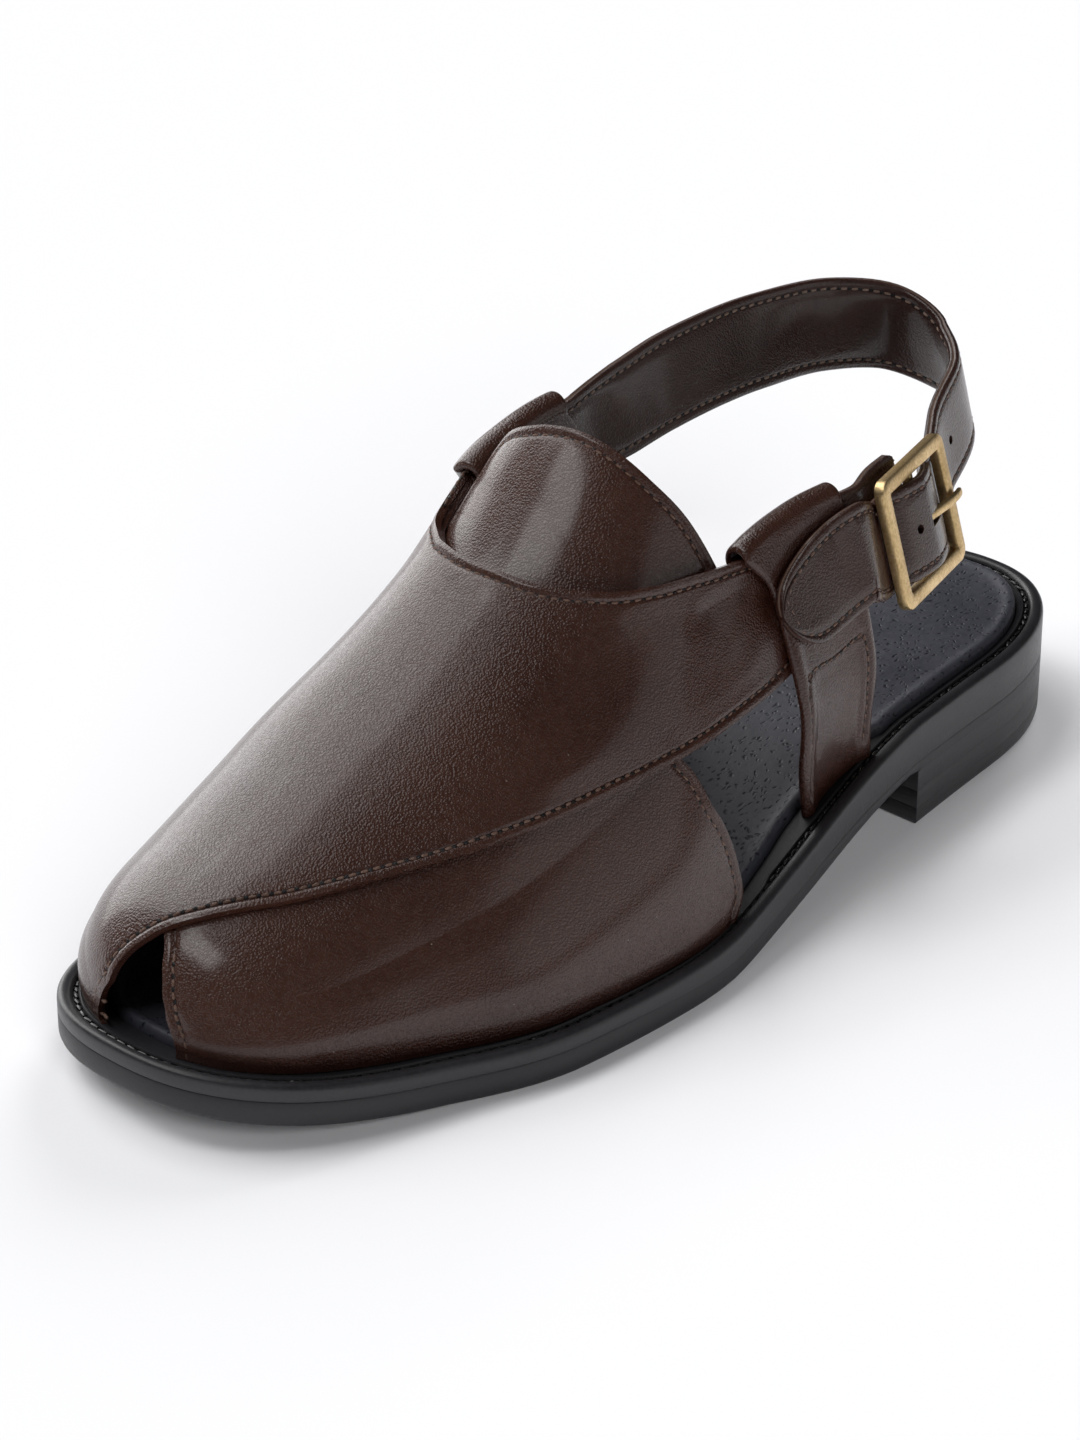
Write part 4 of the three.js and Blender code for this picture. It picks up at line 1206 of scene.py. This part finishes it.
ring_half = buckle_depth / 2
ring_profile = [(0.0, 0.85 * mm), (0.12 * mm, 1.18 * mm), (0.5 * mm, ring_half)]
ring_profile += [(1.8 * mm, ring_half + 0.04 * mm)]
ring_profile += [(buckle_face - inset, rise) for inset, rise in ring_profile[2::-1]]
ring_profile += [(inset, -rise) for inset, rise in ring_profile[::-1]]


def buckle_ring():
    """Flat bars with a narrow worn bevel on every edge."""
    points = []
    for inset, rise in ring_profile:
        radius = max(3.2 * mm - inset, 0.7 * mm)
        ring = rounded_ring(buckle_length - 2 * inset, buckle_width - 2 * inset, radius)
        points.append(np.column_stack([ring, np.full(len(ring), rise)]))
    return np.vstack(points), grid_faces(len(points), len(ring), wrap_rows=True, wrap_columns=True)


ring_points, ring_faces = buckle_ring()
dressed("buckle_frame", in_buckle(ring_points), ring_faces, [aged_brass], ["buckle_frame"])
bar_half = buckle_width / 2 - buckle_face - 0.3 * mm
bar_turns = np.linspace(0, 2 * np.pi, 28, endpoint=False)
bar_points = []
for reach, radius in [(-1, 0.82), (-0.97, 1), (0.97, 1), (1, 0.82)]:
    r = radius * pivot_bar / 2
    bar_points += [[r * np.cos(a), reach * bar_half, r * np.sin(a) - pivot_drop] for a in bar_turns]
dressed(
    "buckle_bar",
    in_buckle(bar_points),
    stack_faces(4, len(bar_turns)),
    [aged_brass],
    ["buckle_bar"],
)
bar_at = (buckle_length - buckle_face) / 2
bar_hold = buckle_face / 2 + 1 * mm
prong_floor = through(
    [0.4, 3.0, (bar_at - bar_hold) / mm, bar_at / mm, buckle_length / 2 / mm + 1.2],
    [0.6, 0.6, 1.75, 1.85, 1.45],
)
prong_rows = np.r_[0.4, 0.55, 0.9, np.linspace(1.4, 17.2, 24), 17.8, 18.1, 18.2]
prong_ends = np.r_[0.5, 0.8, 0.95, np.ones(24), 0.9, 0.65, 0.35]
prong_points = []
prong_sides = 16
for a, size in zip(prong_rows, prong_ends):
    floor_here = prong_floor(np.array(a)) * mm
    taper = size * mix(1.0, 0.86, smooth((a - 12) / 5))
    for turn_at in np.linspace(0, 2 * np.pi, prong_sides, endpoint=False):
        out = 0.8 * mm + 0.8 * mm * np.sign(np.sin(turn_at)) * abs(np.sin(turn_at)) ** 0.7 * taper
        side = prong_width / 2 * np.sign(np.cos(turn_at)) * abs(np.cos(turn_at)) ** 0.7 * taper
        prong_points.append([a * mm, side, floor_here + out])
dressed(
    "buckle_prong",
    in_buckle(prong_points),
    stack_faces(len(prong_rows), prong_sides),
    [aged_brass],
    ["buckle_prong"],
)


# Heel strap
# Two layers of leather glued and stitched back to back, so light raw edges show as a line. It
# starts in the medial sleeve, goes round behind the heel and through the buckle over the prong,
# and its free end lies on the lateral sleeve.
heel_strap_width = 22.4 * mm
heel_strap_thick = 2.6 * mm
outer_leaf_high = 5.7 * mm
under_bar = -(buckle_depth / 2 + fit + heel_strap_thick / 2)
over_pivot = pivot_bar / 2 - pivot_drop + fit + heel_strap_thick / 2
outside_sleeve = outer_leaf_high + 0.6 * mm + heel_strap_thick / 2


def stop_on_last(along, over, off, width):
    """A stop of a strap's way: its place, its lean and how far it bows round the last there."""
    at, _, out = last_frame(along, over)
    reach = np.linalg.norm(last_point(along, over + 0.01) - last_point(along, over - 0.01)) / 0.02
    step = width / 2 / reach
    middle = (last_point(along, over - step) + last_point(along, over + step)) / 2
    return at + out * off, np.arcsin(out[2]), (at - middle) @ out


def stop_by_buckle(a, off, up=0.0):
    return in_buckle([a, up, off]), buckle_lean, 0.0


def stop_free(across, along, up, lean):
    return np.array([across * ball_width, along * sole_length, up * sole_length]), np.radians(lean), 0.0


def centripetal(stops, per_interval):
    """Points of a centripetal Catmull-Rom curve through the stops."""
    p = np.vstack([2 * stops[0] - stops[1], stops, 2 * stops[-1] - stops[-2]])
    gaps = np.sqrt(np.linalg.norm(np.diff(p, axis=0), axis=1))
    points = []
    for i in range(1, len(p) - 2):
        d0, d1, d2 = gaps[i - 1 : i + 2]
        a = (p[i] - p[i - 1]) / d0 - (p[i + 1] - p[i - 1]) / (d0 + d1) + (p[i + 1] - p[i]) / d1
        b = (p[i + 1] - p[i]) / d1 - (p[i + 2] - p[i]) / (d1 + d2) + (p[i + 2] - p[i + 1]) / d2
        a, b = a * d1, b * d1
        c2 = 3 * (p[i + 1] - p[i]) - 2 * a - b
        c3 = 2 * (p[i] - p[i + 1]) + a + b
        for w in np.arange(per_interval) / per_interval:
            points.append(p[i] + w * (a + w * (c2 + w * c3)))
    points.append(p[-2])
    return np.array(points)


def strap_frames(route, per_interval):
    at = centripetal(np.array([stop[0] for stop in route]), per_interval)
    share = np.arange(len(at)) / per_interval
    lean = np.interp(share, np.arange(len(route)), [stop[1] for stop in route])
    camber = np.interp(share, np.arange(len(route)), [stop[2] for stop in route])
    way = np.gradient(at, axis=0)
    way /= np.linalg.norm(way, axis=1, keepdims=True)
    inward = np.stack([-way[:, 1], way[:, 0], 0 * lean], 1)
    inward /= np.linalg.norm(inward, axis=1, keepdims=True)
    up = np.cross(way, inward) * np.cos(lean)[:, None] + inward * np.sin(lean)[:, None]
    deep = np.cross(up, way)
    deep /= np.linalg.norm(deep, axis=1, keepdims=True)
    reach = np.r_[0, np.cumsum(np.linalg.norm(np.diff(at, axis=0), axis=1))]
    return at, way, up, deep, camber, reach


def layered_section(width, thick, seam_depth=0.3):
    """Section of two leather layers: across, deep, and whether a point is on the raw edge."""
    half = width / 2
    t = thick / 2
    face = [(half - i * mm, -t) for i in (0.9, 1.6)]
    face += [(half - 2.0 * mm, -t + 0.5 * seam_depth * mm), (half - 2.35 * mm, -t + seam_depth * mm)]
    face += [(half - 2.7 * mm, -t + 0.5 * seam_depth * mm), (half - 3.2 * mm, -t)]
    face += [(half * q, -t) for q in (0.55, 0.35, 0.15)]
    face = face + [(-q, d) for q, d in face[::-1]]
    edge = [(-half + 0.35 * mm, -t + 0.18 * mm), (-half, -t + 0.6 * mm), (-half + 0.02 * mm, -0.32 * mm)]
    edge += [(-half + 0.22 * mm, 0.0)]
    edge += [(q, -d) for q, d in edge[-2::-1]]
    back = [(q, -d) for q, d in face[::-1]]
    other = [(-q, d) for q, d in edge[::-1]]
    section = np.array(face + edge + back + other)
    raw = len(face) + 3
    raw_other = len(face) + len(edge) + len(back) + 3
    return section, [raw - 1, raw, raw_other - 1, raw_other]


def tip_rounding(reach, length):
    return np.sqrt(max(1 - (1 - reach / length) ** 2, 0.004)) if reach < length else 1.0


def swept_strap(frames, section, raw, tip=(0.0, 0.0), waves=None, end_cut=None):
    at, way, up, deep, camber, reach = frames
    count = len(section)
    points = []
    half = np.abs(section[:, 0]).max()
    for k in range(len(at)):
        above, below = (tip_rounding(reach[k], length) for length in tip)
        q = section[:, 0] * np.where(section[:, 0] > 0, above, below)
        d = section[:, 1] * mix(0.55, 1, min(below * 2.2, 1)) + camber[k] * (q / half) ** 2
        if waves is not None:
            d = d + waves(reach[k], q / half)
        ring = at[k] + up[k] * q[:, None] + deep[k] * d[:, None]
        if end_cut is not None and k == len(at) - 1:
            ring = ring + way[k] * end_cut(q / half)[:, None]
        points.append(ring)
    faces = grid_faces(len(at), count, wrap_columns=True)
    which = [1 if i % count in raw else 0 for i in range(len(faces))]
    caps = [list(range(count)), list(range((len(at) - 1) * count, len(at) * count))]
    return np.vstack(points), faces + caps, which + [0, 1]


heel_strap_route = [
    stop_on_last(0.430, 0.130, outside_sleeve, heel_strap_width),
    stop_on_last(0.412, 0.127, outside_sleeve, heel_strap_width),
    stop_on_last(0.385, 0.123, outside_sleeve, heel_strap_width),
    stop_on_last(0.355, 0.121, outside_sleeve, heel_strap_width),
    stop_on_last(0.330, 0.121, outside_sleeve + 0.4 * mm, heel_strap_width),
    stop_by_buckle(-bar_at - bar_hold, under_bar),
    stop_by_buckle(-bar_at + bar_hold, under_bar),
    stop_by_buckle(-bar_at / 2, (under_bar + over_pivot) / 2 + 0.6 * mm),
    stop_by_buckle(-1 * mm, over_pivot),
    stop_by_buckle(1 * mm, over_pivot),
    stop_by_buckle(bar_at / 2, (under_bar + over_pivot) / 2 + 0.6 * mm),
    stop_by_buckle(bar_at - bar_hold, under_bar),
    stop_by_buckle(bar_at, under_bar - 0.4 * mm),
    stop_by_buckle(bar_at + bar_hold, under_bar - 1.1 * mm),
    stop_free(0.1455, 0.3426, 0.2639, 11.1),
    stop_free(0.0658, 0.4048, 0.2849, 12.9),
    stop_free(-0.0549, 0.4334, 0.2965, 14.7),
    stop_free(-0.1857, 0.4239, 0.3118, 4.7),
    stop_free(-0.2719, 0.3773, 0.3212, -9.3),
    stop_free(-0.3083, 0.3057, 0.3261, -17.8),
    stop_free(-0.3199, 0.2594, 0.3266, -18.9),
    stop_free(-0.3252, 0.1969, 0.3241, -17.1),
    stop_free(-0.3232, 0.1437, 0.3183, -12),
    stop_on_last(0.408, 0.793, sleeve_middle, heel_strap_width),
    stop_on_last(0.435, 0.789, sleeve_middle, heel_strap_width),
    stop_on_last(0.460, 0.786, sleeve_middle, heel_strap_width),
]
heel_frames = strap_frames(heel_strap_route, 9)
strap_section, raw_rows = layered_section(heel_strap_width, heel_strap_thick)


def strap_waves(reach, q):
    return 0.12 * mm * np.sin(reach * 260 + q * 1.3) * (1 - 0.5 * q * q)


strap_leather = leather_finish(
    "strap_leather", (0.032, 0.0105, 0.0068), (0.060, 0.0235, 0.0155), 0.34, 2000.0, 0.19 * mm, dust=0.4
)
raw_leather = leather_finish("raw_leather", (0.10, 0.055, 0.040), (0.22, 0.14, 0.105), 0.75, 900.0, 0.2 * mm)
strap_tip = (22 * mm, 11 * mm)
strap_points, strap_faces, strap_which = swept_strap(
    heel_frames, strap_section, raw_rows, tip=strap_tip, waves=strap_waves
)
strap_leathers = [strap_leather, raw_leather]
heel_strap = dressed(
    "heel_strap", strap_points, strap_faces, strap_leathers, ["heel_strap"], strap_which, panel_crease
)


def cut_with(piece, points, faces):
    """Takes the space of a closed cutter out of a piece."""
    cutter_mesh = bpy.data.meshes.new("cutter")
    placed = np.asarray(points) + [centring, 0, 0]
    cutter_mesh.from_pydata(placed.tolist(), [], faces)
    shape = bmesh.new()
    shape.from_mesh(cutter_mesh)
    bmesh.ops.recalc_face_normals(shape, faces=shape.faces)
    shape.to_mesh(cutter_mesh)
    shape.free()
    cutter = bpy.data.objects.new("cutter", cutter_mesh)
    bpy.context.scene.collection.objects.link(cutter)
    cut = piece.modifiers.new("cut", "BOOLEAN")
    cut.operation = "DIFFERENCE"
    cut.solver = "EXACT"
    cut.object = cutter
    view = bpy.context.evaluated_depsgraph_get()
    kept = bpy.data.meshes.new_from_object(piece.evaluated_get(view))
    piece.modifiers.remove(cut)
    piece.data = kept
    bpy.data.objects.remove(cutter)


prong_slot = [(0.1, 0.3), (3.0, 0.3), (11.8, 1.35), (15.2, 1.4), (18.5, 1.0)]
slot_corners = [(-1, 0), (1, 0), (1, 4), (-1, 4)]
slot_half = 1.5 * mm
slot_points = [
    [a * mm, side * slot_half, (floor_here + rise) * mm]
    for a, floor_here in prong_slot
    for side, rise in slot_corners
]
cut_with(heel_strap, in_buckle(slot_points), stack_faces(5, 4))


hole_radius = 1.1 * mm
hole_sides = 24
punch_reach = 3 * mm
for from_tip in (52 * mm, 93 * mm):
    at, _, up, deep, _, reach = (part[np.abs(heel_frames[5] - from_tip).argmin()] for part in heel_frames)
    across = np.cross(up, deep)
    hole = [
        at + hole_radius * (up * np.cos(a) + across * np.sin(a)) + deep * far
        for far in (-punch_reach, punch_reach)
        for a in np.linspace(0, 2 * np.pi, hole_sides, endpoint=False)
    ]
    cut_with(heel_strap, hole, stack_faces(2, hole_sides))


def face_seam(frames, reaches, across, facing):
    """A stitch line along a swept strap, on its outer (-1) or its inner (1) face."""
    at, way, up, deep, camber, reach = frames
    at, up, deep = (
        np.stack([np.interp(reaches, reach, part[:, k]) for k in range(3)], 1) for part in (at, up, deep)
    )
    share = across / (heel_strap_width / 2)
    d = facing * (heel_strap_thick / 2 - 0.3 * mm) + np.interp(reaches, reach, camber) * share**2
    d = d + strap_waves(reaches, share)
    return at + up * across[:, None] + deep * d[:, None], deep * facing


tan_thread = thread_finish("tan_thread", (0.20, 0.125, 0.09), (0.38, 0.27, 0.21))
seam_row = heel_strap_width / 2 - 2.35 * mm
along_strap = np.arange(2.6 * mm, heel_frames[5][-1] - 2 * mm, 0.5 * mm)
inside_reach = along_strap[20:]
inside_seams = [
    face_seam(heel_frames, inside_reach, np.full_like(inside_reach, q), 1) for q in (-seam_row, seam_row)
]
stitched("heel_strap_stitches_inside", inside_seams, sink=0.0, threads=tan_thread)


def seam_by_tip(length):
    """How far from the middle of the strap the seam runs, following the rounded tip."""
    rounding = np.array([tip_rounding(reach, length) for reach in along_strap])
    return rounding * heel_strap_width / 2 - 2.35 * mm


tip_above, tip_below = strap_tip
over_tip = np.linspace(-seam_by_tip(tip_below)[0], seam_by_tip(tip_above)[0], 12)
seam_reach = np.r_[along_strap[::-1], np.full(12, along_strap[0]), along_strap]
seam_across = np.r_[-seam_by_tip(tip_below)[::-1], over_tip, seam_by_tip(tip_above)]
outside_seam = face_seam(heel_frames, seam_reach, seam_across, -1)
stitched("heel_strap_stitches", [outside_seam], sink=0.0)


# Chape
# Short doubled strap that holds the buckle: its cut end, left ragged, stands up behind the ring,
# and its other end is held in the lateral sleeve.
chape_width = 19 * mm
chape_thick = 2.6 * mm
chape_rise = 6 * mm
behind_pivot = -pivot_bar / 2 - pivot_drop - fit - chape_thick / 2
behind_strap = under_bar - heel_strap_thick / 2 - 2 * fit - chape_thick / 2
chape_route = [
    stop_on_last(0.380, 0.134, sleeve_middle, chape_width),
    stop_on_last(0.358, 0.134, sleeve_middle, chape_width),
    stop_on_last(0.335, 0.133, sleeve_middle, chape_width),
    stop_by_buckle(-bar_at, behind_strap - 0.4 * mm, chape_rise),
    stop_by_buckle(-bar_at / 2, behind_strap, chape_rise + 1 * mm),
    stop_by_buckle(0, behind_pivot, chape_rise + 2 * mm),
]
chape_frames = strap_frames(chape_route, 10)
chape_section, chape_raw = layered_section(chape_width, chape_thick, seam_depth=0.1)


def ragged(q):
    return (0.5 * np.sin(q * 17) + 0.35 * np.sin(q * 41 + 1)) * mm


chape_points, chape_faces, chape_which = swept_strap(
    chape_frames, chape_section, chape_raw, end_cut=ragged
)
dressed("chape", chape_points, chape_faces, strap_leathers, ["chape"], chape_which, panel_crease)


# Photo stage
# The shoe stands on a pale table that runs out of sight, under large soft lights from its
# medial side and from behind. A second set lights only the table, so that it shows white
# around the dark leather and keeps the soft shadow under the sole.
table_mesh = bpy.data.meshes.new("table")
reach = 40
table_corners = [(-reach, -reach, 0), (reach, -reach, 0), (reach, reach, 0), (-reach, reach, 0)]
table_mesh.from_pydata(table_corners, [], [(0, 1, 2, 3)])
table = bpy.data.objects.new("table", table_mesh)
bpy.context.scene.collection.objects.link(table)
table_paper, _, paper_surface = finish_base("table_paper")
paper_surface.inputs["Base Color"].default_value = (0.86, 0.86, 0.88, 1)
paper_surface.inputs["Roughness"].default_value = 0.9
table_mesh.materials.append(table_paper)

def studio_lamp(name, kind, azimuth, elevation, lit):
    """A lamp that looks at the shoe and lights only the objects of one collection."""
    a = np.radians(azimuth)
    e = np.radians(elevation)
    way = Vector((np.sin(a) * np.cos(e), -np.cos(a) * np.cos(e), np.sin(e)))
    lamp = bpy.data.lights.new(name, kind)
    holder = bpy.data.objects.new(name, lamp)
    holder.location = lamp_distance * way
    holder.rotation_euler = way.to_track_quat("Z", "Y").to_euler()
    bpy.context.scene.collection.objects.link(holder)
    holder.light_linking.receiver_collection = lit
    return lamp


lamp_distance = 1.5
shoe_parts = [part for part in bpy.context.scene.objects if part.type == "MESH" and part is not table]
only_shoe = bpy.data.collections.new("only_shoe")
for part in shoe_parts:
    only_shoe.objects.link(part)
for name, azimuth, elevation, width, height, glow in (
    ("low_medial", -100, 12, 1.0, 0.6, 3.2),
    ("medial", -98, 37, 1.0, 0.8, 2.9),
    ("high_medial", -84, 62, 1.0, 0.62, 2.6),
    ("overhead", -60, 80, 0.6, 0.4, 0.5),
    ("before_toe", -14, 60, 0.8, 0.36, 5.0),
    ("behind_buckle", 108, 22, 0.9, 0.7, 0.8),
):
    lamp = studio_lamp(name, "AREA", azimuth, elevation, only_shoe)
    lamp.shape = "RECTANGLE"
    lamp.size = width
    lamp.size_y = height
    lamp.energy = glow * np.pi * width * height

only_table = bpy.data.collections.new("only_table")
only_table.objects.link(table)
for azimuth, elevation, strength in (
    (-160, 35, 1.05),
    (-70, 35, 0.46),
    (-40, 35, 0.40),
    (60, 35, 1.15),
    (-100, 60, 0.75),
    (-50, 60, 1.25),
):
    lamp = studio_lamp(f"table_{azimuth}_{elevation}", "SUN", azimuth, elevation, only_table)
    lamp.energy = strength
    lamp.angle = 0.45

# The room itself is dim, so the side that faces the camera stays dark
world = bpy.data.worlds.new("room")
bpy.context.scene.world = world
world.use_nodes = True
background = world.node_tree.nodes["Background"]
background.inputs["Color"].default_value = (0.97, 0.97, 1.0, 1)
background.inputs["Strength"].default_value = 0.05
bpy.context.scene.view_settings.view_transform = "Standard"

camera_azimuth = np.radians(42.455)
camera_elevation = np.radians(28.5)
camera_distance = 1.06003
camera_target = Vector((-0.037348, 0.017534, 0.020))
camera_way = Vector(
    (
        np.sin(camera_azimuth) * np.cos(camera_elevation),
        -np.cos(camera_azimuth) * np.cos(camera_elevation),
        np.sin(camera_elevation),
    )
)
camera_data = bpy.data.cameras.new("photo_camera")
camera_data.sensor_fit = "VERTICAL"
camera_data.sensor_height = 36
camera_data.lens = 4513.24 / 1440 * 36
camera = bpy.data.objects.new("photo_camera", camera_data)
camera.location = camera_target + camera_distance * camera_way
camera.rotation_euler = (-camera_way).to_track_quat("-Z", "Y").to_euler()
bpy.context.scene.collection.objects.link(camera)
bpy.context.scene.camera = camera
